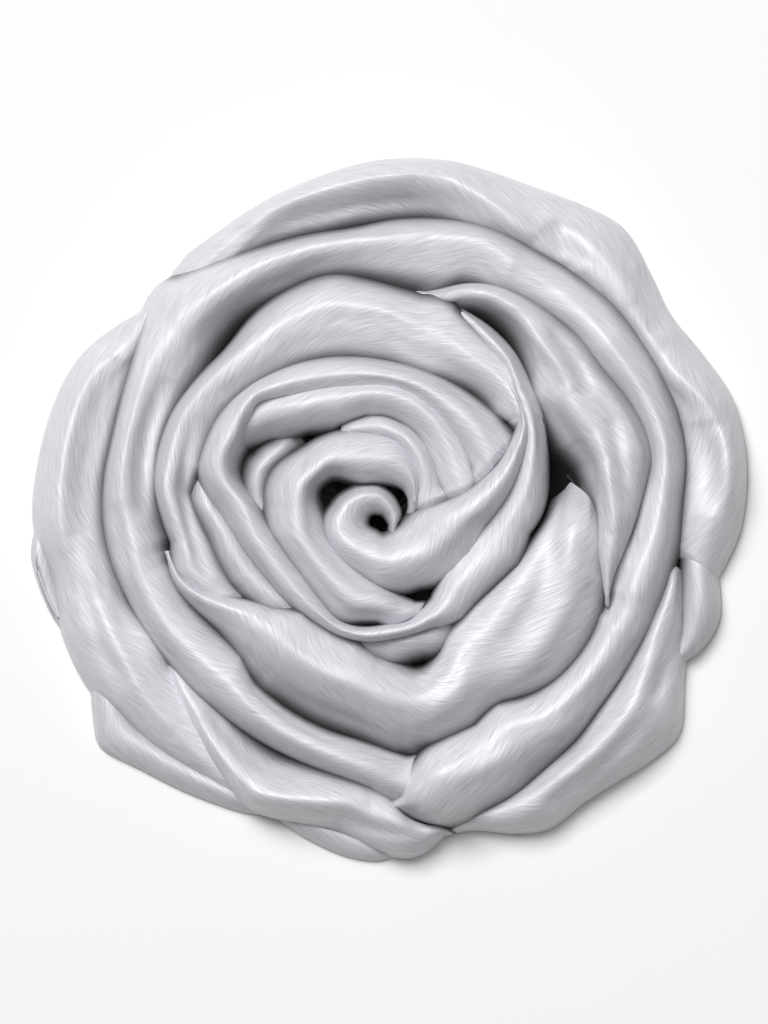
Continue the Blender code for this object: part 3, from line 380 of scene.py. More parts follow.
@dataclass(frozen=True)
class SatinFinish:
    """Woven polyester satin in silver grey.

    Long floats of bright yarn give it a gloss that stretches across the yarn,
    and thicker slubs run through the weave as fine pale streaks. Where the
    cloth turns in under its neighbours, shade is painted into its colour.

    Args:
        name: the material's name.
        shade: colour of the yarn in the troughs of the weave.
        light: colour of the yarn on the slubs.
        painted_shade: the shade painted where the cloth turns in under its neighbour and no light
            gets at the yarn.
        roughness: how wide the gloss spreads.
        gloss: how strong it is.
        sheen: how much the loose fibre ends catch the light.
        yarn_mm: width of one visible streak. The real yarn is about 0.1 mm,
            which is finer than a pixel, so the streaks stand for bundles.
        streak_mm: length of one streak.
        streak_edge: how rough the streaks' edges are.
        slub: width and length of a slub, in streaks, and how much it shows.
        sway: how many times in a centimetre the streaks sway, and how far, in cm.
        tone_range: how the weave's pattern is stretched from shade to light.
        painted_shade_range: the openness at which the cloth is all painted shade, and at which it
            is all yarn.
        relief: how strongly the weave stands out, and its height in metres.
        gloss_range: how much rougher the troughs are than the middle, and the slubs smoother.
        stretch: how far the gloss is drawn out across the yarn.
        ior: of polyester.
        sheen_roughness: how wide the sheen spreads.
    """

    name: str
    shade: str
    light: str
    # The colour of the painted shade, mixed in where the cloth lies low.
    painted_shade: str = "#1F1F23"
    roughness: float = 0.44
    gloss: float = 0.8
    sheen: float = 0.12
    yarn_mm: float = 0.36
    streak_mm: float = 10.0
    streak_edge: float = 0.55
    slub: tuple[float, float, float] = (2.6, 1.8, 0.3)
    sway: tuple[float, float] = (0.35, 0.35)
    tone_range: tuple[float, float] = (0.36, 0.94)
    painted_shade_range: tuple[float, float] = (0.04, 0.68)
    relief: tuple[float, float] = (0.65, 0.0001)
    gloss_range: float = 0.1
    stretch: float = 0.5
    ior: float = 1.58
    sheen_roughness: float = 0.4

    def make(self) -> bpy.types.Material:
        """Builds the material.

        Returns:
            A material that reads the piece's own UV map, in centimetres.
        """
        material = bpy.data.materials.new(self.name)
        material.use_nodes = True
        tree = material.node_tree
        tree.nodes.clear()
        tone = self.weave(tree)
        yarn = add_node(
            tree, "ShaderNodeMix", {"data_type": "RGBA"},
            _0=tone, _6=hex_colour(self.shade), _7=hex_colour(self.light),
        )
        # Painted shade: where the piece's openness is low, its colour is mixed towards the dark
        # shade colour.
        openness = add_node(tree, "ShaderNodeAttribute", {"attribute_name": "openness"})
        closed = add_node(
            tree, "ShaderNodeMapRange", {"interpolation_type": "SMOOTHSTEP"},
            Value=openness.outputs["Fac"],
            From_Min=self.painted_shade_range[0], From_Max=self.painted_shade_range[1], To_Min=1.0, To_Max=0.0,
        )
        colour = add_node(
            tree, "ShaderNodeMix", {"data_type": "RGBA"},
            _0=closed.outputs[0], _6=yarn.outputs[2], _7=hex_colour(self.painted_shade),
        )
        bump = add_node(
            tree, "ShaderNodeBump", Strength=self.relief[0], Distance=self.relief[1], Height=tone
        )
        gloss = add_node(
            tree, "ShaderNodeMapRange", Value=tone,
            To_Min=self.roughness + self.gloss_range, To_Max=self.roughness - self.gloss_range,
        )
        along = add_node(tree, "ShaderNodeTangent", {"direction_type": "UV_MAP", "uv_map": "grain"})
        shader = add_node(
            tree, "ShaderNodeBsdfPrincipled",
            Base_Color=colour.outputs[2], Roughness=gloss.outputs[0], Metallic=0.0,
            IOR=self.ior, Normal=bump.outputs[0], Tangent=along.outputs[0],
            Anisotropic=self.stretch, Sheen_Weight=self.sheen, Sheen_Roughness=self.sheen_roughness,
            Specular_IOR_Level=self.gloss,
        )
        out = add_node(tree, "ShaderNodeOutputMaterial", Surface=shader.outputs[0])
        out.is_active_output = True
        return material

    def weave(self, tree: bpy.types.NodeTree) -> bpy.types.NodeSocket:
        """Adds the weave's streaks and slubs.

        Args:
            tree: the material's tree.

        Returns:
            The socket that gives their tone, from 0 in the troughs to 1 on the slubs.
        """
        grain = add_node(tree, "ShaderNodeUVMap", {"uv_map": "grain"})
        sways, sway_cm = self.sway
        sway = add_node(
            tree, "ShaderNodeTexNoise", {"noise_dimensions": "2D"},
            Vector=grain.outputs[0], Scale=sways, Detail=1.0,
        )
        swayed = add_node(
            tree, "ShaderNodeVectorMath", {"operation": "MULTIPLY_ADD"},
            _0=sway.outputs["Color"], _1=(0.0, sway_cm, 0.0), _2=grain.outputs[0],
        )
        slub_width, slub_length, slub_share = self.slub
        streaks = []
        for width, length, detail in (
            (self.yarn_mm, self.streak_mm, 2.0),
            (self.yarn_mm * slub_width, self.streak_mm * slub_length, 3.0),
        ):
            laid = add_node(
                tree, "ShaderNodeMapping", {"vector_type": "POINT"},
                Vector=swayed.outputs[0], Scale=(MM_PER_CM / length, MM_PER_CM / width, 1.0),
            )
            streak = add_node(
                tree, "ShaderNodeTexNoise", {"noise_dimensions": "2D"},
                Vector=laid.outputs[0], Scale=1.0, Detail=detail, Roughness=self.streak_edge,
            )
            streaks.append(streak.outputs["Fac"])
        both = add_node(
            tree, "ShaderNodeMath", {"operation": "MULTIPLY_ADD"},
            _0=streaks[1], _1=slub_share, _2=streaks[0],
        )
        tone = add_node(
            tree, "ShaderNodeMapRange", Value=both.outputs[0],
            From_Min=self.tone_range[0], From_Max=self.tone_range[1], To_Min=0.0, To_Max=1.0,
        )
        return tone.outputs[0]


# The eye sees cool silver grey with a soft long gloss across the folds, and fine pale hairlines.
SATIN = SatinFinish("Woven polyester satin, silver grey", "#BEBEC4", "#E8E8ED")
# Deep between the strands hardly any light gets at the same cloth, so the eye sees dark matt grey.
SHADED_SATIN = SatinFinish(
    "Woven polyester satin, in shade", "#3C3C40", "#4A4A4E", "#0B0B0D", gloss=0.1, sheen=0.0
)


@dataclass
class Strand:
    """One stretch of the wound scarf, as a fine arched surface of cloth.

    Args:
        name: the strand's name.
        sections: its sections, from one end to the other.
        replaces: the solids that it stands for.
        folds: its ridges and troughs.
        own_top: which end lies on top where the strand crosses itself.
        grain_deg: angle of the weave's streaks against the strand.
        wrinkle_mm: height of its finest wrinkles.
        seed: which of the wrinkles' patterns it gets.
        openness: how much light gets down to it, from 0 to 1; the less, the more shade is painted
            into its colour.
        tuck_mm: how far its edges run on under what covers them.
        flat_m: its width and length laid flat, set when it is built.
    """

    name: str
    sections: tuple[Section, ...]
    replaces: tuple[str, ...]
    folds: tuple[Fold, ...] = ()
    own_top: OwnTop = OwnTop.NONE
    grain_deg: float = 24.0
    wrinkle_mm: float = 1.1
    seed: int = 0
    openness: float = 1.0
    tuck_mm: float = 4.5
    flat_m: tuple[float, float] = (0.0, 0.0)
    # Spacing of the stations that make the surface, and of those that only tell its plan.
    step_mm: ClassVar[float] = 1.15
    plan_step_mm: ClassVar[float] = 4.0
    # Where the strand covers itself, each third station of the surface tells its plan.
    own_plan_every: ClassVar[int] = 3
    # How far the edges' places and the heights are evened out along the strand.
    edge_even_mm: ClassVar[float] = 2.0
    height_even_mm: ClassVar[float] = 6.0
    # How far outside an edge a cover is looked for, and the run over which it takes hold.
    probe_mm: ClassVar[float] = 1.6
    blend_mm: ClassVar[float] = 5.0
    # How far an edge is lowered, under a cover and in the open.
    sink_mm: ClassVar[float] = 5.0
    drop_mm: ClassVar[float] = 8.0
    # How far each end runs on, and how much it falls at each station.
    end_mm: ClassVar[float] = 4.0
    end_fall_mm: ClassVar[float] = 1.4
    # How many points lie across: the width that most stations keep within, and its arc.
    wide_percent: ClassVar[float] = 80
    arc_per_width: ClassVar[float] = 1.35
    least_across: ClassVar[int] = 14
    # How full an open flank is, and how much flatter a covered one.
    open_power: ClassVar[float] = 0.68
    covered_power: ClassVar[float] = 0.32
    # An outer edge lower than this lies on the surface and gets its light, so no shade is painted
    # on it.
    on_floor_mm: ClassVar[float] = 4.0
    # How soon above the edges the folds reach their full height.
    fold_reach: ClassVar[float] = 1.6
    # Wrinkles lie a little aslant, by a share of the grain's angle.
    lean_turn: ClassVar[float] = 0.6
    lean_share: ClassVar[float] = 0.25
    wrinkles: ClassVar[tuple[Wrinkles, ...]] = (
        Wrinkles(46, 8.5, 1.0, 7.3, 0),
        Wrinkles(22, 3.8, 0.4, 3.1, 40),
    )
    # How far apart in the weave's pattern the strands are cut, along it and across it.
    cut_apart_cm: ClassVar[tuple[float, float]] = (13.7, 5.9)

    def stations(self, step_mm: float) -> np.ndarray:
        """Finds evenly spaced stations along the strand.

        Args:
            step_mm: their spacing.

        Returns:
            A row for each station, in the columns named at the top of this file.
        """
        table = np.array([astuple(section) for section in self.sections])
        inner = plan_point(table[:, 0], table[:, 1])
        outer = plan_point(table[:, 2], table[:, 3])
        keys = np.column_stack([inner, outer, table[:, 4:]])
        runs = [curve_between(keys, i, step_mm) for i in range(len(keys) - 1)]
        laid = np.concatenate([*runs, keys[-1:]])
        for column in range(laid.shape[1]):
            even_mm = self.edge_even_mm if column < OUT_XY.stop else self.height_even_mm
            laid[:, column] = smooth_steps(laid[:, column], round(even_mm / step_mm))
        return laid

    def plan_holds(self, points: np.ndarray) -> np.ndarray:
        """Says which plan points, in mm, lie inside the strand's plan."""
        return inside_plan(self.stations(self.plan_step_mm), points)

    def own_covered(self, rows: np.ndarray, points: np.ndarray) -> np.ndarray:
        """Says which points lie under the strand's own other end.

        Args:
            rows: the strand's stations.
            points: a plan position for each station.

        Returns:
            True for each point that is covered.
        """
        covered = np.zeros(len(rows), bool)
        if self.own_top is not OwnTop.NONE:
            top, low = slice(0, len(rows) // 2), slice(len(rows) // 2, None)
            if self.own_top is OwnTop.END:
                top, low = low, top
            covered[low] = inside_plan(rows[top][:: self.own_plan_every], points[low])
        return covered

    def laid_stations(
        self, strands: dict[str, Strand]
    ) -> tuple[np.ndarray, np.ndarray, np.ndarray]:
        """Runs each edge on under what covers it, and lowers each edge that lies on top.

        Args:
            strands: all strands by name.

        Returns:
            The stations, and columns of how far each one's inner and outer edge is covered,
            from 0 to 1.
        """
        rows = self.with_ends(self.stations(self.step_mm))
        across = rows[:, OUT_XY] - rows[:, IN_XY]
        across /= np.maximum(np.linalg.norm(across, axis=1, keepdims=True), TINY)
        middle = (rows[:, IN_XY] + rows[:, OUT_XY]) / 2 - np.array(EYE_MM)
        bearing = np.degrees(np.arctan2(middle[:, 1], middle[:, 0])) % 360
        covers = [cover for cover in COVERS if cover.under == self.name]
        reach = round(self.blend_mm / self.step_mm)
        shares = []
        for edge, side, rim in ((IN_XY, -1.0, IN_Z), (OUT_XY, 1.0, OUT_Z)):
            probe = rows[:, edge] + side * across * self.probe_mm
            covered = self.own_covered(rows, probe)
            for cover in covers:
                covered |= cover.holds(bearing) & strands[cover.over].plan_holds(probe)
            share = smooth_steps(covered.astype(float), reach)[:, None]
            rows[:, edge] += side * across * (share * self.tuck_mm)
            lowered = rows[:, rim] - self.drop_mm + (self.drop_mm - self.sink_mm) * share
            rows[:, rim] = np.maximum(lowered, 0.0)
            shares.append(share)
        return rows, shares[0], shares[1]

    def with_ends(self, rows: np.ndarray) -> np.ndarray:
        """Runs both ends on, falling, so that they sink into what lies there.

        Args:
            rows: the strand's stations.

        Returns:
            The stations, with more before the first and after the last.
        """
        steps = np.arange(1, round(self.end_mm / self.step_mm) + 1)[:, None]
        added = []
        for end, beside in ((rows[0], rows[2]), (rows[-1], rows[-3])):
            run = end[IN_XY] + end[OUT_XY] - beside[IN_XY] - beside[OUT_XY]
            run = run / max(float(np.hypot(*run)), TINY) * self.step_mm
            extra = np.repeat(end[None], len(steps), axis=0)
            extra[:, IN_XY] += run * steps
            extra[:, OUT_XY] += run * steps
            extra[:, HEIGHTS] = np.maximum(extra[:, HEIGHTS] - self.end_fall_mm * steps, 0.0)
            added.append(extra)
        return np.concatenate([added[0][::-1], rows, added[1]])

    def build(self, strands: dict[str, Strand], finish: bpy.types.Material) -> bpy.types.Object:
        """Makes the strand's mesh.

        Args:
            strands: all strands by name.
            finish: its cloth.

        Returns:
            The finished piece, a thin closed shell at the origin.
        """
        rows, inner_share, outer_share = self.laid_stations(strands)
        widths = np.hypot(*(rows[:, OUT_XY] - rows[:, IN_XY]).T)
        arc_mm = np.percentile(widths, self.wide_percent) * self.arc_per_width
        count = int(max(self.least_across, arc_mm / self.step_mm))
        # From -1 at the inner edge by 0 at the crest to 1 at the outer edge, closer at the edges.
        s = -np.cos(np.linspace(0, math.pi, count + 1))[None, :]
        crest = rows[:, CREST_AT]
        inner_flank = s <= 0
        share = np.where(inner_flank, crest * (1 + s), crest + (1 - crest) * s)
        rim = np.where(inner_flank, rows[:, IN_Z], rows[:, OUT_Z])
        bend = np.where(inner_flank, rows[:, IN_BEND], rows[:, OUT_BEND])
        covered = np.where(inner_flank, inner_share, outer_share)
        power = self.open_power + self.covered_power * covered
        rise = np.maximum(1 - s**2, 0.0) ** (power + np.maximum(bend, 0.0))
        start, end = rows[:, None, IN_XY], rows[:, None, OUT_XY]
        plan = start + (end - start) * share[..., None]
        z = rim + (rows[:, CREST_Z] - rim) * rise
        folded = np.zeros(z.size)
        for fold in self.folds:
            folded += fold.heights(plan.reshape(-1, 2))
        z += folded.reshape(z.shape) * np.clip(rise * self.fold_reach, 0, 1)
        grid = np.concatenate([plan, z[..., None]], axis=-1)
        u, v = surface_lengths(grid)
        self.flat_m = (float(np.ptp(v, axis=1).mean()) * MM, float(u[-1, 0]) * MM)
        # How open each point lies to the light: the rims get little, so shade is painted into the
        # colour there, but not on an outer edge that lies on the floor.
        on_floor = np.clip(1 - rows[:, OUT_Z] / self.on_floor_mm, 0, 1)
        on_floor = np.where(inner_flank, 0.0, on_floor)
        light = (rise + (1 - rise) * on_floor) * self.openness
        return self.shell(self.wrinkled(grid, u, v, rise), u, v, light, finish)

    def wrinkled(
        self, grid: np.ndarray, u: np.ndarray, v: np.ndarray, rise: np.ndarray
    ) -> np.ndarray:
        """Moves the surface along its normals by fine drawn-out wrinkles.

        Args:
            grid: the surface's points.
            u: distance along the strand.
            v: distance across it.
            rise: how far each point stands above the rims, from 0 to 1.

        Returns:
            The moved points.
        """
        along, across = np.gradient(grid, axis=0), np.gradient(grid, axis=1)
        normal = np.cross(along, across)
        normal /= np.maximum(np.linalg.norm(normal, axis=2, keepdims=True), TINY)
        if normal[..., 2].mean() < 0:
            normal = -normal
        lean = math.tan(math.radians(self.grain_deg * self.lean_turn)) * self.lean_share
        move = np.zeros(u.shape)
        for i, j in np.ndindex(*u.shape):
            place = (u[i, j], v[i, j] + lean * u[i, j])
            move[i, j] = sum(size.height(*place, self.seed) for size in self.wrinkles)
        return grid + normal * (move * self.wrinkle_mm * rise)[..., None]

    def shell(
        self,
        grid: np.ndarray,
        u: np.ndarray,
        v: np.ndarray,
        light: np.ndarray,
        finish: bpy.types.Material,
    ) -> bpy.types.Object:
        """Turns the surface into a thin closed shell with a grain map in centimetres.

        Args:
            grid: the surface's points in mm.
            u: distance along the strand in mm.
            v: distance across it in mm.
            light: how open each point lies to the light, from 0 to 1, which sets the painted shade.
            finish: its cloth.

        Returns:
            The finished piece.
        """
        cells = np.arange(u.size).reshape(u.shape)
        corners = [cells[:-1, :-1], cells[:-1, 1:], cells[1:, 1:], cells[1:, :-1]]
        faces = np.stack(corners, axis=-1).reshape(-1, 4)
        points = grid.reshape(-1, 3)
        one, two, three = (points[faces[:, k]] for k in (0, 1, 2))
        if np.cross(two - one, three - one)[:, 2].sum() < 0:
            faces = faces[:, ::-1]
        name = f"{self.name}_cloth"
        mesh = bpy.data.meshes.new(name)
        mesh.from_pydata((points * MM).tolist(), [], faces.tolist())
        cos, sin = math.cos(math.radians(self.grain_deg)), math.sin(math.radians(self.grain_deg))
        s = (u * cos + v * sin) / MM_PER_CM + self.seed * self.cut_apart_cm[0]
        t = (v * cos - u * sin) / MM_PER_CM + self.seed * self.cut_apart_cm[1]
        grain = np.stack([s.ravel(), t.ravel()], axis=-1)[faces.ravel()]
        mesh.uv_layers.new(name="grain").data.foreach_set("uv", grain.astype(np.float32).ravel())
        # The openness, by which the finish paints shade into the colour.
        openness = mesh.attributes.new("openness", "FLOAT", "POINT")
        openness.data.foreach_set("value", light.astype(np.float32).ravel())
        mesh.materials.append(finish)
        mesh.shade_smooth()
        obj = placed(name, mesh)
        wall = obj.modifiers.new("wall", "SOLIDIFY")
        wall.thickness = CLOTH_MM * MM
        wall.offset = -1.0
        piece = applied(obj)
        for vertex in piece.data.vertices:
            vertex.co.z = max(vertex.co.z, 0.0)
        return piece


@dataclass
class Heart:
    """The curled start of the scarf, and the arm and loop wound round it.

    Args:
        curl: the curled start, and the sweep that runs out of it to the upper right.
        loop: the roll round the curl, and the loop that it runs into.
        nested: the short strand between these and the upper arm.
    """

    curl: tuple[Section, ...] = (
        Section(330, 4.2, 344, 7.2, 34, 35, 32),
        Section(0, 2.3, 11, 9.6, 36, 39, 33, 0.6),
        Section(45, 1.7, 45, 9.6, 37, 41.5, 33, 0.6),
        Section(90, 1.4, 90, 11.1, 37, 43, 34, 0.6),
        Section(117, 1.8, 117, 12.2, 37, 43.5, 32, 0.6),
        Section(140, 2.4, 140, 14.9, 37, 44, 28, 0.6),
        Section(165, 2.7, 168, 17, 37, 44, 28, 0.6),
        Section(185, 2.9, 185, 17.2, 37, 44.5, 30, 0.6),
        Section(200, 3.1, 200, 17.3, 37, 45, 34, 0.6),
        Section(218, 3.4, 219, 16.5, 37, 45, 36, 0.55),
        Section(240, 3, 240, 17, 37, 45, 36),
        Section(268, 3.3, 262, 19.1, 37, 45, 36, 0.45),
        Section(290, 4.6, 282, 24.4, 36, 45.5, 35, 0.45),
        Section(325, 5, 300, 28.5, 33, 45, 32),
        Section(356, 7.4, 318, 30.6, 35, 45.5, 32),
        Section(14, 10.4, 335, 32.3, 36, 46.5, 33),
        Section(18, 15.5, 347, 35.4, 38, 48, 34),
        Section(17, 23.6, 357, 39.6, 39, 49, 36),
        Section(19, 31.5, 5, 44, 40, 50, 38),
        Section(22, 38, 12, 48.8, 40, 50, 39),
        Section(26, 45.6, 19, 53.4, 40, 49, 39),
        Section(30, 52, 26, 58.7, 39, 47, 39),
        Section(34.5, 58.4, 31.5, 63.2, 37, 45.5, 39),
        Section(40, 62, 38, 66, 37, 44.6, 39),
        Section(46.5, 65.4, 45.5, 68, 36, 43.6, 38),
    )
    loop: tuple[Section, ...] = (
        Section(19.5, 12.8, 22, 14.7, 34, 37, 35),
        Section(33, 12.5, 30, 17.4, 32, 40, 35),
        Section(48, 13.2, 46, 22.4, 31, 42, 36, 0.6),
        Section(63, 12.6, 63, 26.4, 33, 44, 36, 0.6),
        Section(80, 11.9, 78, 30.4, 34, 45.5, 36, 0.55),
        Section(100, 12.2, 95, 32.2, 34, 46, 36),
        Section(118, 13, 111, 34.7, 33, 46.5, 35),
        Section(131, 15.8, 122, 35.8, 26, 47, 35, 0.62, 0.3),
        Section(139, 18.6, 130, 36.7, 22, 47.5, 34, 0.5, 0.7),
        Section(145, 19.2, 138.5, 37.7, 19, 47.5, 33, 0.44, 1.6),
        Section(151, 19.4, 148, 40.3, 18, 47.5, 31, 0.44, 1.8),
        Section(158, 19, 156, 42, 19, 47.5, 30, 0.46, 1.6),
        Section(169, 17.8, 164, 42, 24, 47.5, 30, 0.46, 0.6),
        Section(184, 17.6, 173, 40.2, 32, 47, 32),
        Section(200, 17.6, 184, 36.6, 35, 47, 34),
        Section(218, 16.9, 198, 32.9, 36, 47, 35),
        Section(236, 17.3, 214, 31, 36, 46.5, 35),
        Section(254, 18.4, 231, 32.1, 36, 46, 34),
        Section(270, 20.8, 252, 36.8, 36, 45, 31, 0.45),
        Section(280, 24.2, 268, 35, 35, 43.5, 31, 0.45),
        Section(289, 27.8, 280, 36.2, 34, 41, 32, 0.45),
        Section(296, 31.8, 289, 35, 33, 37, 33),
    )
    nested: tuple[Section, ...] = (
        Section(107, 34.8, 106, 36.4, 33, 36, 33),
        Section(98, 33.4, 97, 37.2, 33, 39, 34),
        Section(88, 32.2, 88, 37.2, 34, 41, 35),
        Section(76, 31, 76, 35.4, 35, 42, 36),
        Section(64, 27.4, 66, 34, 35, 42.5, 36),
        Section(53, 24.6, 54, 31.3, 35, 42, 36),
        Section(42, 21.6, 43, 28.8, 34, 41, 36),
        Section(31, 18.2, 31, 27.3, 34, 40, 36),
        Section(21, 15, 19.5, 26.6, 34, 39, 36),
    )

    def strands(self) -> list[Strand]:
        """Lists the strands, the innermost first.

        Returns:
            The strands of the heart, not yet built.
        """
        return [
            Strand(
                "heart_curl", self.curl, ("centre_curl", "inner_sweep"),
                own_top=OwnTop.END, grain_deg=-28, seed=1,
            ),
            Strand("heart_loop", self.loop, ("inner_roll", "inner_loop"), grain_deg=-24, seed=2),
            Strand("nested_strand", self.nested, ("nested_strand",), grain_deg=-20, seed=3),
        ]


@dataclass
class SecondLoop:
    """The double strand over the heart, whose outer half turns back under it.

    Args:
        inner_arm: the inner half, over the top of the heart.
        loop: the outer half, which runs right round the heart and climbs on its right.
    """

    inner_arm: tuple[Section, ...] = (
        Section(150.5, 55.6, 142, 61.8, 24, 36, 36, 0.6),
        Section(147, 50, 136, 58, 22, 40, 38, 0.62),
        Section(142, 44.2, 129, 53.6, 23, 42.5, 40, 0.65),
        Section(134, 39.6, 119, 49.6, 28, 44.5, 41, 0.66),
        Section(121, 36.9, 108, 47, 30, 44.5, 41, 0.68),
        Section(106, 35.5, 96, 45.5, 28, 44.5, 41, 0.72, 0.5),
        Section(91, 36, 85, 44.7, 28, 44.5, 41, 0.75, 0.8),
        Section(78, 34.8, 74, 43, 29, 44.5, 41, 0.75, 0.8),
        Section(66, 32.8, 63, 40.5, 30, 44, 40, 0.75, 0.8),
        Section(54, 30.2, 52, 38.4, 30, 43.5, 40, 0.72, 0.6),
        Section(43, 29.4, 42, 37.1, 37, 42.5, 39),
        Section(31, 28, 31, 35.6, 37, 42, 39),
        Section(20.5, 27.4, 21, 34.2, 37, 41, 38),
    )
    loop: tuple[Section, ...] = (
        Section(22.5, 35.6, 31.5, 54.4, 39, 44, 36),
        Section(32, 36.4, 38, 56.2, 39, 45.5, 34),
        Section(45, 38, 47, 55.4, 40, 46, 33),
        Section(58, 40, 58, 55, 40, 46, 33),
        Section(72, 43.1, 70, 55.3, 41, 46, 34),
        Section(86, 45.3, 82, 56.2, 41, 46, 35, 0.45),
        Section(100, 46.4, 94, 58.1, 41, 46, 35, 0.45),
        Section(114, 48.9, 106, 60.4, 41, 46, 35, 0.45),
        Section(126, 52.9, 118, 62.8, 41, 46, 35, 0.45),
        Section(136, 58.4, 130, 64.9, 41, 45.5, 35, 0.45),
        Section(141, 56, 138, 66.3, 36, 45, 36, 0.55),
        Section(146, 53, 143.5, 67, 28, 45.5, 36, 0.52, 0.6),
        Section(151, 49, 149, 67.5, 20, 46, 35, 0.52, 1.6),
        Section(158, 47.5, 158, 66.9, 18, 46, 35, 0.64, 2),
        Section(163, 46, 165, 66.2, 18, 46, 34, 0.54, 1.7),
        Section(168, 43.4, 171, 62.4, 20, 46, 32, 0.4, 0.8),
        Section(174, 40.2, 177, 57, 24, 46, 31, 0.35, 0.4),
        Section(181, 37.9, 185, 52.2, 33, 46, 32),
        Section(191, 34.6, 195, 48.4, 34, 46, 33),
        Section(202, 32.6, 206, 45.4, 34, 45.5, 34),
        Section(218, 31.5, 220, 44.2, 34, 45, 34),
        Section(232, 33.2, 236, 43.3, 33, 44.5, 33),
        Section(247, 36.9, 252, 43.7, 32, 43, 33),
        Section(260, 37.6, 266, 43.5, 32, 42.5, 32),
        Section(274, 36.3, 278, 42.6, 32, 42.5, 31),
        Section(287, 36.2, 289, 42.4, 32, 42, 31),
        Section(298, 33.6, 300, 42.9, 31, 42, 33),
        Section(310, 31.6, 309, 42, 31, 42, 35),
        Section(324, 31.8, 321, 41.2, 33, 42, 36),
        Section(338, 33.2, 333, 43.4, 34, 42, 37),
        Section(350, 37.1, 345, 48.4, 36, 42.5, 37),
        Section(359, 41.7, 353.5, 53.2, 37, 43, 37),
        Section(8, 46.8, 1, 57.6, 38, 43.5, 34),
        Section(15, 51.4, 9, 60.5, 38, 44, 30),
        Section(22, 56.2, 18, 63.2, 38, 44, 28),
        Section(28, 61.2, 26, 66, 38, 43.5, 30),
        Section(35, 64.4, 34, 69.4, 38, 43, 33),
        Section(43, 66.8, 43, 72.6, 38, 43, 32),
        Section(52, 69, 51, 76.1, 36, 42, 28),
        Section(60, 71.6, 59, 78.3, 32, 39, 27),
        Section(67, 75, 66, 79.6, 25, 34, 24),
        Section(73, 77.6, 73, 81, 20, 28, 20),
        Section(79, 79.8, 79, 81.6, 16, 23, 16),
    )

    def strands(self) -> list[Strand]:
        """Lists the strands, the inner one first.

        Returns:
            Both strands, not yet built.
        """
        return [
            Strand("upper_arm", self.inner_arm, ("upper_arm_inner",), grain_deg=26, seed=4),
            Strand(
                "second_loop", self.loop,
                ("upper_arm_outer", "second_loop", "second_loop_rise"),
                grain_deg=-26, seed=5,
            ),
        ]


@dataclass
class ThirdRing:
    """The broad strand round the top and left of the second loop.

    Args:
        sections: from the upper right over the top to the lower left.
        folds: the long crease on its left, and a low ridge.
    """

    sections: tuple[Section, ...] = (
        Section(35.5, 58.2, 33, 63.5, 35, 42, 39),
        Section(42, 56, 42, 66.3, 24, 41.5, 39, 0.65, 0.6),
        Section(50, 55.6, 51, 68.3, 22, 41, 38, 0.65, 0.8),
        Section(58, 55.2, 60, 70.4, 24, 41, 38, 0.62, 0.6),
        Section(67, 56, 68, 74.6, 32, 41, 37, 0.55),
        Section(75, 56.2, 75, 80, 34, 41, 32),
        Section(84, 57, 85, 82, 36, 41.5, 28, 0.62, 0.3),
        Section(94, 58.6, 93, 85, 37, 42, 26, 0.62, 0.3),
        Section(104, 60.5, 101, 88.2, 37, 42, 25, 0.62, 0.3),
        Section(114, 62.6, 111, 87.2, 37, 42, 24, 0.62, 0.3),
        Section(123, 64.1, 121, 84.8, 36, 42, 20, 0.62, 0.3),
        Section(132, 65.8, 132, 80.6, 35, 42, 20, 0.74, 0.2),
        Section(142, 67.4, 142, 81, 34, 41, 24, 0.74, 0.2),
        Section(152, 67.7, 152, 82, 33, 40, 25, 0.74, 0.2),
        Section(162, 66.9, 162, 81.3, 33, 40, 26, 0.74, 0.2),
        Section(171, 65.6, 171, 79.5, 32, 40, 26, 0.74, 0.2),
        Section(179, 62.2, 180, 75.8, 32, 39.5, 27, 0.6),
        Section(188, 58.2, 188, 72.6, 32, 39, 28, 0.6),
        Section(197, 56.2, 195, 70, 32, 38, 31, 0.6),
        Section(203, 55.2, 201, 67.5, 31, 36, 31),
        Section(208, 54.2, 206.5, 61, 29, 32, 29),
    )
    folds: tuple[Fold, ...] = (
        Fold((150, 73.5), (199, 62), 2.2, -3),
        Fold((118, 69), (140, 72), 4.5, 1.5),
    )

    def strands(self) -> list[Strand]:
        """Lists the one strand."""
        return [
            Strand("third_ring", self.sections, ("third_ring",), self.folds, grain_deg=-24, seed=6)
        ]


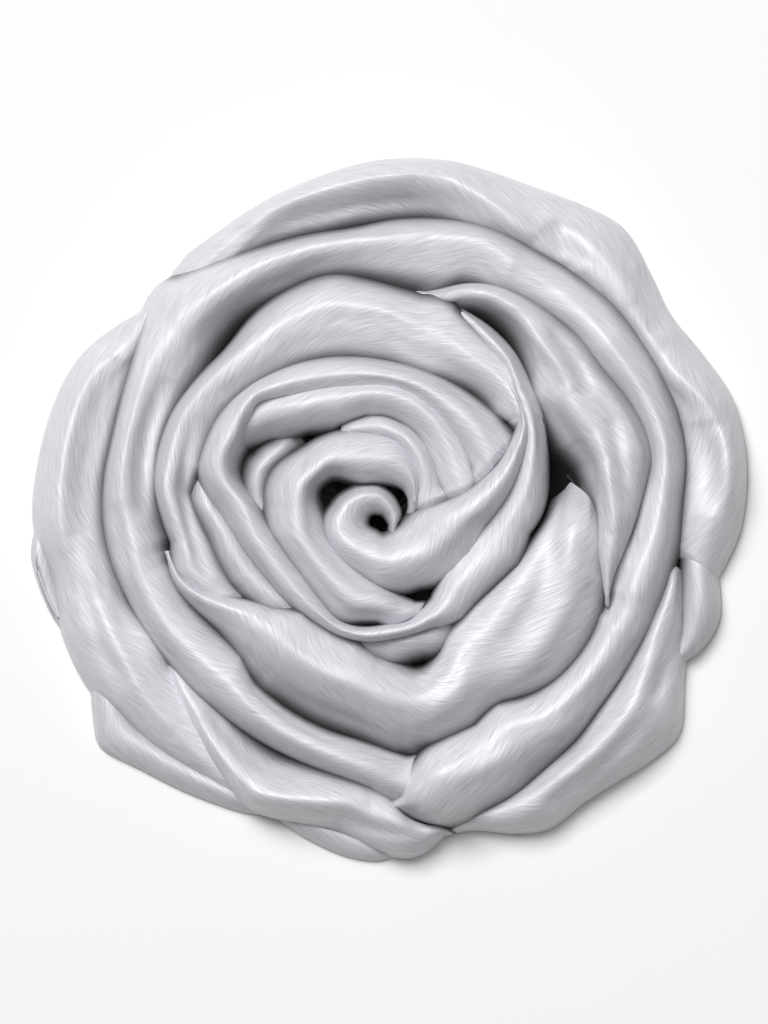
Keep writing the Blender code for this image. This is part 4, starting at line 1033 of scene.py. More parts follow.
@dataclass
class Petal:
    """The broad petal that crosses below the heart and climbs on its right.

    Args:
        sections: from its tip on the left, by the bottom, to its tip on the right.
        folds: its soft ridges and hollows.
    """

    sections: tuple[Section, ...] = (
        Section(190.5, 72.6, 190.5, 75.2, 22, 25, 22),
        Section(196, 70.2, 196, 75.4, 30, 36, 27),
        Section(201, 66, 201.5, 73.6, 32, 38.5, 26, 0.45),
        Section(206.5, 58.6, 208, 70.8, 34, 40.5, 26, 0.4),
        Section(212, 52.4, 215, 68.2, 35, 41.5, 29, 0.35),
        Section(220, 47.2, 222, 68.2, 36, 42, 27, 0.32),
        Section(230, 44.3, 231, 70.8, 36, 41.5, 24, 0.36, 0, 0.2),
        Section(242, 43.9, 242, 72.3, 36, 41, 15, 0.42, 0, 0.6),
        Section(255, 44.3, 254, 74.4, 35, 41, 15, 0.44, 0, 0.6),
        Section(268, 45.6, 266, 76.9, 33, 41, 15, 0.44, 0, 0.6),
        Section(277, 48.6, 274, 80.8, 30, 40.5, 15, 0.44, 0, 0.5),
        Section(285, 53.2, 281, 81.2, 28, 39.5, 16, 0.44, 0, 0.4),
        Section(293, 50.8, 292, 77, 29, 39, 23, 0.48),
        Section(300, 45.9, 300, 76.8, 33, 38.5, 22, 0.46),
        Section(308, 42.8, 309, 81.6, 35, 38.5, 20, 0.42),
        Section(318, 41.9, 318, 86, 34, 38.5, 22, 0.4),
        Section(329, 43, 328, 87.2, 34, 38.5, 22, 0.4),
        Section(339, 46.2, 337, 86.2, 34, 38.5, 24, 0.42),
        Section(347, 50.2, 343, 81.8, 34, 38, 28, 0.45),
        Section(354, 54, 349, 77.4, 35, 38, 31),
        Section(1, 58.2, 357, 76, 31, 36.5, 30),
        Section(7, 60.8, 4, 74.8, 20, 28, 22, 0.62),
        Section(11.5, 66.5, 9.3, 75, 8, 13, 8),
        Section(15.5, 71.5, 14, 77, 6, 9, 6),
        Section(19, 74.5, 18, 78, 3, 5, 3),
    )
    folds: tuple[Fold, ...] = (
        Fold((204, 64), (284, 57), 5.5, 1.6, -4),
        Fold((232, 65), (286, 72), 6, -2.8),
        Fold((300, 62), (3, 62), 6, -2.6, 1),
        Fold((318, 50), (352, 57.5), 5.5, 0.6),
        Fold((306, 72), (350, 70), 6, 0.6, 3),
    )

    def strands(self) -> list[Strand]:
        """Lists the one strand."""
        return [
            Strand(
                "petal", self.sections, ("petal_left", "petal_right"), self.folds,
                grain_deg=32, seed=7,
            )
        ]


@dataclass
class WrapRing:
    """The ring wound right round the rosette, and the gathered strand at its right.

    Args:
        gathered: the gathered strand, from the top down the right.
        gathered_folds: the ridges and troughs of its gathers.
        ring: the ring, from the bottom up the right and right round.
        ring_folds: the long creases that split it, and its ridges.
    """

    gathered: tuple[Section, ...] = (
        Section(80, 80.5, 82, 82.5, 14, 22, 17),
        Section(71, 78.5, 76, 83.4, 18, 28.5, 20, 0.7, 1.2),
        Section(67, 77.5, 70, 88.3, 15, 38.5, 27, 0.8, 4.5),
        Section(60, 76.5, 63, 92.3, 14, 39.5, 26, 0.8, 4.8),
        Section(52.5, 74.5, 55, 94, 15, 40, 25, 0.74, 4.2),
        Section(46.5, 72.5, 48, 95, 18, 40.5, 24, 0.58, 2),
        Section(41, 72.4, 41, 96.4, 33, 40, 24),
        Section(34, 67, 34, 96, 26, 40, 24, 0.52, 0.6),
        Section(27, 63.5, 27, 98.2, 20, 40, 23, 0.55, 1.5),
        Section(19, 64.5, 20, 100.2, 18, 40, 22, 0.55, 2),
        Section(12, 68.5, 13, 99.8, 20, 40, 22, 0.5, 1.4),
        Section(5, 75.1, 7, 95.8, 31, 39, 22, 0.4),
        Section(358, 76.5, 0, 91.6, 32, 38, 23, 0.4),
        Section(351, 77.4, 353, 88, 31, 37, 24, 0.4),
        Section(345, 80.6, 347, 85.4, 29, 34, 25),
        Section(341, 84, 341.5, 85.6, 27, 30, 26),
    )
    gathered_folds: tuple[Fold, ...] = (
        Fold((53, 86), (33, 82), 3, 2.6),
        Fold((38, 91.5), (10, 96), 3, 2.6),
        Fold((48, 89.5), (30, 87), 2.4, -3.4),
        Fold((36, 78), (21, 77), 4.5, 2.4),
        Fold((36, 72), (10, 76), 4.5, -2.6, 1),
        Fold((22, 80), (357, 82), 3.2, 2.6),
        Fold((24, 88), (2, 87), 2.6, -3),
    )
    ring: tuple[Section, ...] = (
        Section(272, 98, 273.5, 102.5, 8, 12, 8),
        Section(273.6, 93.6, 278, 106.6, 19, 25, 12, 0.45),
        Section(276.6, 88.4, 282, 110.4, 25, 31, 13, 0.4),
        Section(280, 82.4, 286, 111.2, 26, 33.5, 13, 0.38),
        Section(285, 79.1, 290, 109.7, 25, 33, 15, 0.4),
        Section(293, 77.2, 296, 108.5, 22, 32, 16, 0.4),
        Section(302, 78, 303, 106.8, 21, 32, 19, 0.4, 0, 0.35),
        Section(311, 83.8, 311, 105.5, 21, 32, 19, 0.45, 0, 0.35),
        Section(321, 86.8, 320, 103.2, 22, 32, 19, 0.5, 0, 0.35),
        Section(331, 87.5, 328, 103.1, 22, 32, 19, 0.5, 0, 0.35),
        Section(340, 86.1, 337, 104, 23, 32, 19, 0.5, 0, 0.35),
        Section(349, 86.3, 347, 105.2, 23, 31.5, 19, 0.5, 0, 0.35),
        Section(357, 90.7, 355, 106.5, 22, 31, 18, 0.5, 0, 0.35),
        Section(5, 95, 3, 107.6, 21, 30, 18, 0.5, 0, 0.35),
        Section(12, 100, 11, 110.5, 20, 29, 18, 0.5, 0, 0.35),
        Section(19, 100.8, 18, 111.9, 20, 29, 19, 0.5, 0, 0.35),
        Section(27, 98.8, 26, 112.7, 20, 29.5, 19, 0.5, 0, 0.35),
        Section(35, 96.5, 34, 112.9, 20, 30, 20, 0.5, 0, 0.35),
        Section(44, 96.6, 43, 112.9, 20, 30, 21, 0.5, 0, 0.35),
        Section(53, 94.8, 51, 111.6, 21, 30, 21, 0.5, 0, 0.35),
        Section(62, 92.7, 59, 110.5, 22, 30.5, 21, 0.55, 0, 0.35),
        Section(70, 87.8, 67, 110.2, 23, 31, 21, 0.8, 0.9, 0.35),
        Section(76.5, 81.8, 75.5, 109, 25, 31, 18, 0.8, 0.9, 0.3),
        Section(86, 83.2, 86, 106, 26, 31, 18, 0.8, 0.9, 0.3),
        Section(95, 86.6, 95, 103, 24, 30.5, 18, 0.8, 0.9, 0.3),
        Section(104, 88.8, 105, 103.4, 22, 30, 20, 0.72, 0.7, 0.3),
        Section(114, 86, 116, 105.4, 18, 30.5, 20, 0.72, 1, 0.3),
        Section(124, 84, 126, 109.4, 16, 31, 16, 0.62, 1.8),
        Section(133, 80.5, 133, 112.7, 16, 31, 9, 0.6, 1.8),
        Section(139, 80, 138, 110.2, 18, 31, 10, 0.58, 0.9),
        Section(147, 82.3, 146, 104, 22, 31, 17, 0.68, 0.25),
        Section(154, 82.6, 154, 100.4, 23, 31.5, 17, 0.68, 0.25),
        Section(162, 82, 162, 98.2, 23, 31.5, 17, 0.68, 0.25),
        Section(170, 77.5, 171, 97.7, 20, 31.5, 17, 0.7, 0.8),
        Section(178, 75, 180, 96.7, 18, 31.5, 17, 0.7, 1.2),
        Section(186, 74, 189, 95, 20, 31.5, 17, 0.68, 0.9),
        Section(194, 76.3, 198, 92.3, 24, 31.5, 17, 0.68, 0.25),
        Section(203, 73.2, 207, 90.5, 21, 31.5, 17, 0.68, 0.25),
        Section(212, 69.5, 216, 89.2, 18, 32, 17, 0.6, 0.3),
        Section(221, 67.6, 225, 88.6, 18, 32.5, 17, 0.58, 0.3),
        Section(231, 70.7, 235, 88, 26, 33, 16),
        Section(243, 72.9, 245, 88.5, 26, 33, 15),
        Section(255, 75.1, 255, 90, 25, 32.5, 14),
        Section(266, 77.3, 264, 93, 24, 31, 14),
        Section(273, 80.3, 270, 96, 21, 28, 14),
        Section(279, 83.6, 276, 97.5, 17, 23, 13),
    )
    ring_folds: tuple[Fold, ...] = (
        Fold((146, 89), (180, 82), 3, -5.2),
        Fold((176, 92), (226, 84.5), 2.4, -4.2),
        Fold((138, 101), (178, 91), 4.5, 2),
        Fold((80, 99), (136, 95), 5, 2.2),
        Fold((100, 92), (138, 88), 4, -3),
        Fold((62, 99), (38, 104), 4.5, -2.6),
        Fold((68, 99), (5, 103), 5, 1.4),
        Fold((344, 94), (312, 97), 5, -1.8),
        Fold((318, 100), (280, 92), 5, 1.8),
    )

    def strands(self) -> list[Strand]:
        """Lists the strands, the gathered one first.

        Returns:
            Both strands, not yet built.
        """
        return [
            Strand(
                "right_ring", self.gathered, ("right_ring",), self.gathered_folds,
                grain_deg=22, seed=8,
            ),
            Strand(
                "wrap_ring", self.ring,
                ("bottom_ring", "outer_ring_right", "top_ring", "left_ring"),
                self.ring_folds, own_top=OwnTop.START, grain_deg=-22, seed=9,
            ),
        ]


@dataclass
class Flounces:
    """The loose outermost turn, which rolls down to the surface.

    Args:
        top: from the right over the top to the upper left.
        top_folds: its ridges and troughs.
        bottom: from the right down to the bottom.
        bottom_folds: its ridges and troughs.
        left: from the upper left down to the lower left.
        left_folds: its ridges and troughs.
        swirl: the strand that turns in under the ring at the lower left.
        swirl_folds: its ridges and troughs.
    """

    top: tuple[Section, ...] = (
        Section(354.3, 107, 350.3, 121.2, 11, 14.5, 0),
        Section(358, 107.7, 357, 126.3, 12, 18, 0),
        Section(4, 108.3, 3.5, 129.2, 12, 20.5, 0, 0.6),
        Section(11, 111, 11, 131.1, 12, 21, 0, 0.65),
        Section(19, 112.5, 19, 131.3, 12, 20.5, 0, 0.6),
        Section(27, 113.3, 27, 127.7, 12, 20, 0, 0.35),
        Section(35, 113.3, 35, 125.2, 13, 20, 0, 0.4),
        Section(42, 113.5, 42, 128.6, 13, 21, 0, 0.35),
        Section(50, 112.2, 49.5, 133.5, 14, 21, 0, 0.35),
        Section(57, 111.3, 56.5, 131.7, 14, 21.5, 0, 0.35),
        Section(64.5, 110.8, 64.5, 128.8, 14, 21.5, 0, 0.4),
        Section(73, 109.8, 73, 128.2, 13, 21.5, 0),
        Section(80, 108.1, 80, 128.1, 13, 21.5, 0, 0.74, 0.9),
        Section(90, 105.3, 90, 126, 13, 21.5, 0, 0.74, 0.9),
        Section(100, 103.5, 100, 122, 14, 21.5, 0, 0.74, 0.9),
        Section(110, 104.6, 110, 118.4, 15, 20.5, 0, 0.74, 0.9),
        Section(120, 106.8, 120, 115.2, 15, 18.5, 0, 0.45),
        Section(127, 105.5, 127, 114, 12, 15, 0, 0.4),
        Section(131.5, 103, 131.5, 108.5, 9, 11, 0, 0.4),
    )
    top_folds: tuple[Fold, ...] = (
        Fold((70, 113), (112, 108), 6, -4),
        Fold((80, 126), (61, 111.5), 4.4, 3.8),
        Fold((84, 121), (124, 113), 4.5, 2.5),
        Fold((94, 121), (79, 124.5), 4, 2.5),
        Fold((60, 121), (52, 111), 4.6, -3.4),
        Fold((58, 127), (40, 119), 5, 2.2),
        Fold((44, 127), (33, 120), 4, -4),
        Fold((29, 113), (18, 129), 5, 2.4),
        Fold((15, 126), (2, 124.5), 4, 2.2),
        Fold((17, 118), (1, 117), 6, -3.6),
    )
    bottom: tuple[Section, ...] = (
        Section(349.5, 106, 349, 109, 13, 16, 12),
        Section(345, 105.3, 343.5, 112.6, 13, 20, 7, 0.4),
        Section(339, 104.6, 338, 116.8, 13, 22, 5, 0.3),
        Section(333, 103.9, 332, 121.6, 13, 22.5, 0, 0.3),
        Section(327, 103.3, 325, 129.4, 13, 22.5, 0, 0.3),
        Section(320, 103.5, 319, 128, 13, 22.5, 0, 0.35),
        Section(313, 105.5, 313, 124.8, 13, 22, 0, 0.35),
        Section(306, 106.4, 306, 122.8, 12, 21, 0, 0.4),
        Section(299, 108.3, 299, 124, 11, 20, 0, 0.4),
        Section(293, 109.7, 293.5, 120, 10, 17, 0, 0.4),
        Section(288, 111, 289, 115.2, 9, 13, 0, 0.4),
        Section(285.2, 112.3, 285.6, 113.2, 8, 9, 2, 0.4),
    )
    bottom_folds: tuple[Fold, ...] = (
        Fold((340, 113), (326, 114.5), 3, -3.6),
        Fold((337, 107), (300, 112), 3.2, 2.6, 2),
        Fold((322, 116), (300, 116), 4, -2.4),
    )
    left: tuple[Section, ...] = (
        Section(138.6, 108.9, 138, 110.1, 9, 11, 0, 0.4),
        Section(145, 105.2, 145, 115.2, 12, 18, 0, 0.4),
        Section(153, 101.1, 152, 119.3, 13, 20, 0, 0.62, 0.1),
        Section(162, 98.7, 161, 120.7, 13, 21, 0, 0.62, 0.1),
        Section(172, 98.2, 172, 120.9, 13, 21.5, 0, 0.62, 0.1),
        Section(181.5, 97.1, 181, 120.8, 13, 21.5, 1, 0.62, 0.1),
        Section(190, 95.2, 190, 116.3, 13, 21.5, 3, 0.62, 0.1),
        Section(199, 92.8, 199.5, 117.8, 13, 21, 1, 0.62, 0.1),
        Section(208, 87.5, 210, 117.6, 13, 20.5, 1, 0.55),
        Section(217, 88.5, 219, 113.8, 8, 19, 3, 0.6, 0.3),
        Section(226, 92, 227, 111.9, 8, 18, 3, 0.6),
        Section(235, 97, 235, 110.2, 10, 14, 4, 0.6),
        Section(241.5, 108, 241, 109.5, 8, 10, 4, 0.4),
    )
    left_folds: tuple[Fold, ...] = (
        Fold((148, 107), (184, 103), 5, -3.4),
        Fold((150, 114), (186, 112), 4.5, 2.2),
        Fold((182, 108), (214, 105), 3.6, -2.8),
        Fold((196, 101), (226, 103), 3.2, 2),
    )
    swirl: tuple[Section, ...] = (
        Section(211, 86.5, 212, 90.5, 8, 12, 9),
        Section(219, 86.8, 220, 95, 10, 16, 11, 0.62, 0.2),
        Section(228, 86.8, 229, 99.4, 12, 19, 11, 0.68, 0.4),
        Section(238, 86.8, 238, 105.2, 11, 21.5, 8, 0.78, 1.1),
        Section(247, 87.6, 246, 111, 11, 22, 2, 0.74, 1.1),
        Section(256, 88.6, 256, 110.4, 11, 22, 3, 0.6, 0.8),
        Section(264, 90.5, 263, 111.2, 11, 22, 3, 0.5, 0.3),
        Section(269, 92.5, 270, 116.6, 12, 22, 0, 0.55),
        Section(272, 95.5, 275, 119.4, 12, 22, 0, 0.55),
        Section(275.5, 104.6, 279, 117.2, 11, 19, 0),
        Section(280, 109.3, 282.2, 113, 8, 12, 0, 0.4),
    )
    swirl_folds: tuple[Fold, ...] = (
        Fold((244, 106), (268, 97), 4.5, 2.6),
        Fold((228, 91), (256, 94), 3.6, -2.5),
        Fold((262, 105), (279, 112), 3, -3.4),
    )

    def strands(self) -> list[Strand]:
        """Lists the strands, from the top round by the right.

        Returns:
            The flounces, not yet built.
        """
        return [
            Strand(
                "top_flounce", self.top, ("right_flounce", "crown_right", "crown"),
                self.top_folds, grain_deg=30, seed=10,
            ),
            Strand(
                "bottom_flounce", self.bottom, ("bottom_flounce",), self.bottom_folds,
                grain_deg=-22, seed=11,
            ),
            Strand(
                "left_flounce", self.left, ("left_flounce",), self.left_folds,
                grain_deg=-20, seed=12,
            ),
            Strand(
                "bottom_swirl", self.swirl, ("bottom_swirl",), self.swirl_folds,
                grain_deg=18, seed=13,
            ),
        ]


@dataclass
class Tails:
    """Low folds that show round the foot of the flounces.

    Args:
        right: beside the gap between the top and the bottom flounce.
        left: under the left flounce.
        lower_left: under the left flounce and the swirl.
        bottom: under the swirl.
    """

    right: tuple[Section, ...] = (
        Section(357, 104, 355, 118.5, 9, 13, 0),
        Section(353.5, 105, 351, 120.8, 9, 14.5, 0),
        Section(350, 106, 348, 122.6, 9, 15, 0, 0.55),
        Section(346, 107, 344.5, 124.6, 9, 15, 0, 0.55),
        Section(342, 109, 341, 124.2, 8, 13, 0),
        Section(338, 111, 337.5, 121.8, 7, 11, 0),
        Section(334, 112, 334, 117, 5, 8, 0),
    )
    left: tuple[Section, ...] = (
        Section(178, 111, 178, 118, 1, 3.5, 0),
        Section(182, 112, 182.5, 120.8, 1, 5, 0, 0.82),
        Section(186.5, 112, 186.5, 122.2, 1, 6, 0, 0.85),
        Section(191.5, 112, 191.5, 120.9, 1, 6, 0, 0.85),
        Section(197, 112, 197, 118.8, 1, 5, 0, 0.8),
        Section(202, 111, 202, 115.5, 1, 3.5, 0),
    )
    lower_left: tuple[Section, ...] = (
        Section(208, 107, 208, 114.5, 3, 6, 0),
        Section(212, 107, 212.3, 118.8, 3, 8, 0),
        Section(216, 107, 216.3, 123.3, 3, 9, 0),
        Section(220, 107, 219.5, 125.9, 4, 9, 0),
        Section(226, 106, 225.5, 121.2, 4, 9, 0),
        Section(233, 104, 233, 117.4, 4, 8.5, 0),
        Section(240, 103, 240, 114.6, 3, 8, 0),
        Section(246, 103, 246, 112.6, 2, 7, 0),
        Section(252, 103, 252, 109, 2, 5, 0),
    )
    bottom: tuple[Section, ...] = (
        Section(249, 104, 249, 109, 2, 4, 0),
        Section(254, 104, 254, 112.4, 2, 6, 0),
        Section(258, 104, 258, 114.9, 3, 7.5, 0),
        Section(263, 105, 263, 117.7, 3, 7.5, 0),
        Section(268, 107, 267.5, 119.4, 3, 7, 0),
        Section(271.5, 109, 271, 119.4, 2, 6, 0),
        Section(276, 110, 276, 116, 2, 4, 0),
    )

    def strands(self) -> list[Strand]:
        """Lists the folds, from the right round by the left.

        Returns:
            The folds, not yet built.
        """
        named = (
            ("right_tail", self.right, 14),
            ("left_tail", self.left, 15),
            ("lower_left_tail", self.lower_left, 16),
            ("bottom_tail", self.bottom, 17),
        )
        return [
            # Lying low, the folds get less openness, so more shade is painted into their colour.
            Strand(name, rows, (name,), grain_deg=20, seed=seed, openness=0.55, tuck_mm=0.0)
            for name, rows, seed in named
        ]


@dataclass
class Hollows:
    """The low strands that show only between the others.

    Args:
        shaded: between the second loop and the third ring, on the left.
        peeking: between the heart and the second loop, on the upper left.
        lower: between the second loop and the petal, at the bottom.
    """

    shaded: tuple[Section, ...] = (
        Section(167, 60, 167.5, 65, 26, 28, 26),
        Section(173, 57, 173.5, 64.4, 27, 31, 27),
        Section(178, 53, 179, 61.4, 27, 33, 27),
        Section(185, 49, 186, 58, 27, 34, 27),
        Section(194, 46, 195, 56, 27, 34.5, 27),
        Section(203, 43.5, 204, 54, 28, 34.5, 28),
        Section(211, 42.5, 211, 52.2, 29, 34, 29),
        Section(218, 41.5, 218, 49, 28, 33, 28),
        Section(226, 39.5, 226, 45.5, 27, 31, 27),
        Section(233, 38, 233, 43.5, 25, 28, 25),
    )
    peeking: tuple[Section, ...] = (
        Section(137, 38.5, 135, 43.5, 20, 24, 20),
        Section(146, 40, 145, 46.5, 19, 27, 18),
        Section(154, 41.4, 153, 48.6, 19, 28, 17),
        Section(162, 41.4, 161, 48.2, 19, 28, 17),
        Section(169, 40.4, 168, 46, 19, 27, 18),
        Section(177, 38, 177, 43, 19, 24, 19),
    )
    lower: tuple[Section, ...] = (
        Section(257, 39.5, 257, 44.5, 28, 30, 28),
        Section(264, 40.5, 264, 45.8, 28, 32, 28),
        Section(271, 40.5, 271, 47, 28, 33, 28),
        Section(277, 40.5, 277, 49, 28, 35, 28),
        Section(284, 40.5, 283, 50.4, 28, 36, 24),
        Section(290, 40.5, 290, 50.6, 28, 36, 24),
        Section(296, 40.5, 295, 49.5, 28, 35, 28),
        Section(302, 40.5, 302, 46.5, 28, 33, 28),
        Section(308, 39.5, 308, 43.5, 27, 30, 27),
    )

    def strands(self) -> list[Strand]:
        """Lists the strands, the left one first.

        Returns:
            The strands, not yet built.
        """
        named = (
            ("shaded_strand", self.shaded, 18),
            ("peeking_strand", self.peeking, 19),
            ("lower_strand", self.lower, 20),
        )
        return [
            # Lying deep between the others, these strands get less openness, so more shade is
            # painted into their colour.
            Strand(name, rows, (name,), grain_deg=15, seed=seed, openness=0.5)
            for name, rows, seed in named
        ]


# Which strands each strand lies on, all round.
LIES_ON: dict[str, tuple[str, ...]] = {
    "heart_curl": ("nested_strand", "upper_arm", "second_loop", "third_ring"),
    "heart_loop": ("nested_strand", "upper_arm", "peeking_strand"),
    "nested_strand": ("upper_arm",),
    "upper_arm": ("peeking_strand",),
    "second_loop": (
        "upper_arm", "third_ring", "right_ring", "shaded_strand", "peeking_strand", "lower_strand",
    ),
    "third_ring": ("wrap_ring", "right_ring", "shaded_strand"),
    "petal": ("third_ring", "shaded_strand", "lower_strand"),
    "right_ring": ("petal", "wrap_ring"),
    "wrap_ring": ("top_flounce", "left_flounce", "bottom_flounce", "bottom_swirl", "right_tail"),
    "top_flounce": ("left_flounce", "right_tail"),
    "bottom_flounce": ("bottom_swirl", "right_tail"),
    "bottom_swirl": ("left_flounce", "lower_left_tail", "bottom_tail"),
    "left_flounce": ("left_tail", "lower_left_tail"),
}
COVERS: tuple[Cover, ...] = (
    *(Cover(over, under) for over, unders in LIES_ON.items() for under in unders),
    Cover("heart_loop", "heart_curl", 50, 300),
    Cover("heart_curl", "heart_loop", 300, 50),
    Cover("second_loop", "heart_loop", 183, 300),
    Cover("second_loop", "heart_curl", 290, 358),
    Cover("second_loop", "petal", 170, 296),
    Cover("petal", "second_loop", 296, 352),
    Cover("petal", "wrap_ring", 186, 231),
    Cover("wrap_ring", "petal", 231, 300),
    Cover("petal", "wrap_ring", 300, 345),
)


@dataclass
class InnerLayers:
    """The layers hidden in the heap, one low dome under all the strands, with its top painted
    near-black as the shade between them.

    Args:
        profile: radius about the eye and height at places from the middle to the rim, in mm.
        spokes: how many bearings it is made on.
        rings: how many rings of points it has.
        hub_share: the smallest ring, as a share of the largest.
        ripple_mm: height of the ripples on it.
        ripple_runs: how often the ripples change round the dome, and over how many mm outwards.
        plan_step_mm: spacing of the strands' stations that give the heap's outline.
        window_deg: how near a bearing the outline is read.
        even_spokes: how many spokes away a nearer outline holds the rim back.
        inset_mm: how far inside the outline the rim lies.
    """

    profile: tuple[tuple[float, float], ...] = (
        (0, 22), (15, 20), (30, 18), (45, 17), (60, 15), (72, 11), (84, 8), (94, 5), (102, 2),
    )
    spokes: int = 180
    rings: int = 64
    hub_share: float = 0.004
    ripple_mm: float = 1.6
    ripple_runs: tuple[float, float] = (4, 9)
    plan_step_mm: float = 2.0
    window_deg: float = 4.0
    even_spokes: int = 2
    inset_mm: float = 9.5

    def reaches(self, strands: dict[str, Strand]) -> list[float]:
        """Finds how far the layers reach on each bearing, just inside the heap's outline.

        Args:
            strands: all strands by name.

        Returns:
            A radius about the eye for each spoke, in mm.
        """
        outer = [strand.stations(self.plan_step_mm)[:, OUT_XY] for strand in strands.values()]
        away = np.concatenate(outer) - np.array(EYE_MM)
        bearing = np.degrees(np.arctan2(away[:, 1], away[:, 0]))
        radius = np.hypot(*away.T)
        rims = []
        for degrees in np.linspace(0, 360, self.spokes, endpoint=False):
            near = np.abs((bearing - degrees + 180) % 360 - 180) < self.window_deg
            rims.append(float(radius[near].max()) - self.inset_mm)
        beside = self.even_spokes
        return [
            min(rims[i - beside], rims[i], rims[(i + beside) % self.spokes])
            for i in range(self.spokes)
        ]

    def place(self, angle: float, radius: float) -> Vector:
        """Finds a point on top of the dome.

        Args:
            angle: its bearing about the eye, in radians.
            radius: its distance from the eye, in mm.

        Returns:
            The point, in metres.
        """
        east, north = math.cos(angle), math.sin(angle)
        around, outward_mm = self.ripple_runs
        ripple = noise.noise(Vector((around * east, around * north, radius / outward_mm)))
        level = float(np.interp(radius, *np.array(self.profile).T))
        height = level + self.ripple_mm * ripple
        return Vector((EYE_MM[0] + radius * east, EYE_MM[1] + radius * north, height)) * MM

    def build(
        self, strands: dict[str, Strand], shaded: bpy.types.Material, satin: bpy.types.Material
    ) -> bpy.types.Object:
        """Makes the dome.

        Args:
            strands: all strands by name, which set how far it reaches.
            shaded: the cloth in the shade between the strands.
            satin: the cloth of the underside.

        Returns:
            The finished piece, closed, with a flat underside.
        """
        reaches = self.reaches(strands)
        angles = np.linspace(0, 2 * math.pi, self.spokes, endpoint=False)
        work = bmesh.new()
        grain = work.loops.layers.uv.new("grain")
        openness = work.verts.layers.float.new("openness")
        spokes = list(zip(angles, reaches))
        rings = [
            [work.verts.new(self.place(angle, reach * share)) for angle, reach in spokes]
            for share in np.linspace(self.hub_share, 1.0, self.rings)
        ]
        foot = [work.verts.new((vert.co.x, vert.co.y, 0.0)) for vert in rings[-1]]
        rings.append(foot)
        for inner, outer in zip(rings, rings[1:]):
            for i in range(self.spokes):
                j = (i + 1) % self.spokes
                work.faces.new((inner[i], outer[i], outer[j], inner[j]))
        work.faces.new(rings[0])
        underside = work.faces.new(foot[::-1])
        bmesh.ops.recalc_face_normals(work, faces=work.faces)
        for face in work.faces:
            face.smooth = face is not underside
            for loop in face.loops:
                loop[grain].uv = loop.vert.co.xy * CM_PER_M
        # Only the foot is open: the dome's top is painted all shade, and its underside keeps the
        # yarn's colour.
        for vert in foot:
            vert[openness] = 1.0
        underside.material_index = 1
        mesh = bpy.data.meshes.new("inner_layers")
        work.to_mesh(mesh)
        work.free()
        mesh.materials.append(shaded)
        mesh.materials.append(satin)
        return placed("inner_layers", mesh)


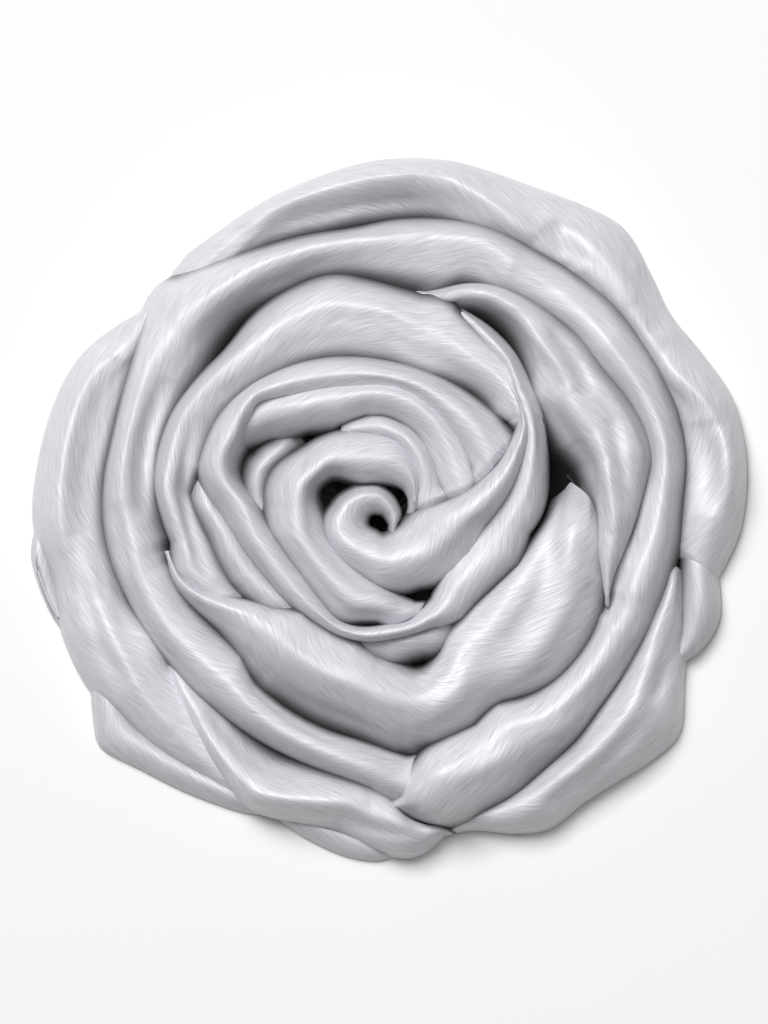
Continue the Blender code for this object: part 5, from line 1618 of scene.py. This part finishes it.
@dataclass
class Studio:
    """The camera straight overhead, soft light and a pale floor.

    Args:
        height_m: how high the camera hangs.
        floor_m: the floor's side.
        floor_drop_m: how far it lies under the cloth.
        floor_hex: its colour.
        floor_roughness: how matt it is.
        floor_gloss: how strong its gloss is.
        key_m: side of the main soft box.
        key_at: where it hangs.
        key_watts: its power.
        top_m: side of the weak soft box near the camera.
        top_at: where it hangs.
        top_watts: its power.
        sky: strength of the even light from all round.
    """

    height_m: float = 2.0
    floor_m: float = 6.0
    floor_drop_m: float = 0.0002
    floor_hex: str = "#F1F1F1"
    floor_roughness: float = 0.9
    floor_gloss: float = 0.1
    key_m: float = 2.0
    key_at: tuple[float, float, float] = (-1.2, 2.2, 4.4)
    key_watts: float = 235.0
    top_m: float = 0.8
    top_at: tuple[float, float, float] = (0.05, 0.2, 1.8)
    top_watts: float = 7.0
    sky: float = 0.1

    def build(self) -> None:
        """Makes the floor, both lamps, the sky and the camera."""
        self.add_floor()
        self.add_lamp("key_soft_box", self.key_m, self.key_at, self.key_watts)
        self.add_lamp("top_soft_box", self.top_m, self.top_at, self.top_watts)
        self.add_sky()
        self.add_camera()

    def add_floor(self) -> None:
        """Adds the floor just under the cloth."""
        mesh = bpy.data.meshes.new("floor")
        half = self.floor_m / 2
        corners = [(-half, -half, 0), (half, -half, 0), (half, half, 0), (-half, half, 0)]
        mesh.from_pydata(corners, [], [(0, 1, 2, 3)])
        floor = placed("floor", mesh)
        floor.location.z = -self.floor_drop_m
        # A board that gives the eye soft contact shadows and no gloss.
        paint = bpy.data.materials.new("Matt white backdrop board")
        paint.use_nodes = True
        shader = paint.node_tree.nodes["Principled BSDF"]
        shader.inputs["Base Color"].default_value = hex_colour(self.floor_hex)
        shader.inputs["Roughness"].default_value = self.floor_roughness
        shader.inputs["Specular IOR Level"].default_value = self.floor_gloss
        mesh.materials.append(paint)

    def add_lamp(
        self, name: str, size_m: float, place: tuple[float, float, float], watts: float
    ) -> None:
        """Hangs a square soft box that points at the cloth.

        Args:
            name: the lamp's name.
            size_m: length of its side.
            place: where it hangs, in metres.
            watts: its power.
        """
        light = bpy.data.lights.new(name, "AREA")
        light.shape = "SQUARE"
        light.size = size_m
        light.energy = watts
        lamp = placed(name, light)
        lamp.location = place
        aim = Vector((0, 0, 0)) - lamp.location
        lamp.rotation_euler = aim.to_track_quat("-Z", "Y").to_euler()

    def add_sky(self) -> None:
        """Fills the shadows with an even white sky."""
        world = bpy.data.worlds.new("white_room")
        world.use_nodes = True
        back = world.node_tree.nodes["Background"]
        back.inputs["Color"].default_value = (1.0, 1.0, 1.0, 1.0)
        back.inputs["Strength"].default_value = self.sky
        bpy.context.scene.world = world

    def add_camera(self) -> None:
        """Looks straight down at the photograph's scale."""
        across = (VIEW_PIXELS[0] / 2 - EYE_PIXEL[0]) * PIXEL_MM
        down = (VIEW_PIXELS[1] / 2 - EYE_PIXEL[1]) * PIXEL_MM
        data = bpy.data.cameras.new("camera")
        data.type = "ORTHO"
        data.sensor_fit = "VERTICAL"
        data.ortho_scale = VIEW_PIXELS[1] * PIXEL_MM * MM
        camera = placed("camera", data)
        camera.location = ((EYE_MM[0] + across) * MM, (EYE_MM[1] - down) * MM, self.height_m)
        bpy.context.scene.camera = camera
        bpy.context.scene.view_settings.view_transform = "Standard"


def main() -> None:
    """Builds the scarf in its studio."""
    logging.basicConfig(level=logging.INFO, format="%(name)s: %(message)s")
    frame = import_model()
    LOG.info("frame: %d nodes", len(frame["nodes"]))
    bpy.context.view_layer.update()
    satin, shaded = SATIN.make(), SHADED_SATIN.make()
    parts = (Heart, SecondLoop, ThirdRing, Petal, WrapRing, Flounces, Tails, Hollows)
    strands = {strand.name: strand for part in parts for strand in part().strands()}
    for strand in strands.values():
        piece = strand.build(strands, satin)
        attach(piece, "root")
        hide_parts(*strand.replaces)
        faces = len(piece.data.polygons)
        LOG.info("%s: %d faces, flat %.3f x %.3f m", piece.name, faces, *strand.flat_m)
    dome = InnerLayers().build(strands, shaded, satin)
    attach(dome, "root")
    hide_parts("hidden_layers")
    LOG.info("inner_layers: %d faces", len(dome.data.polygons))
    Studio().build()


if __name__ == "__main__":
    main()
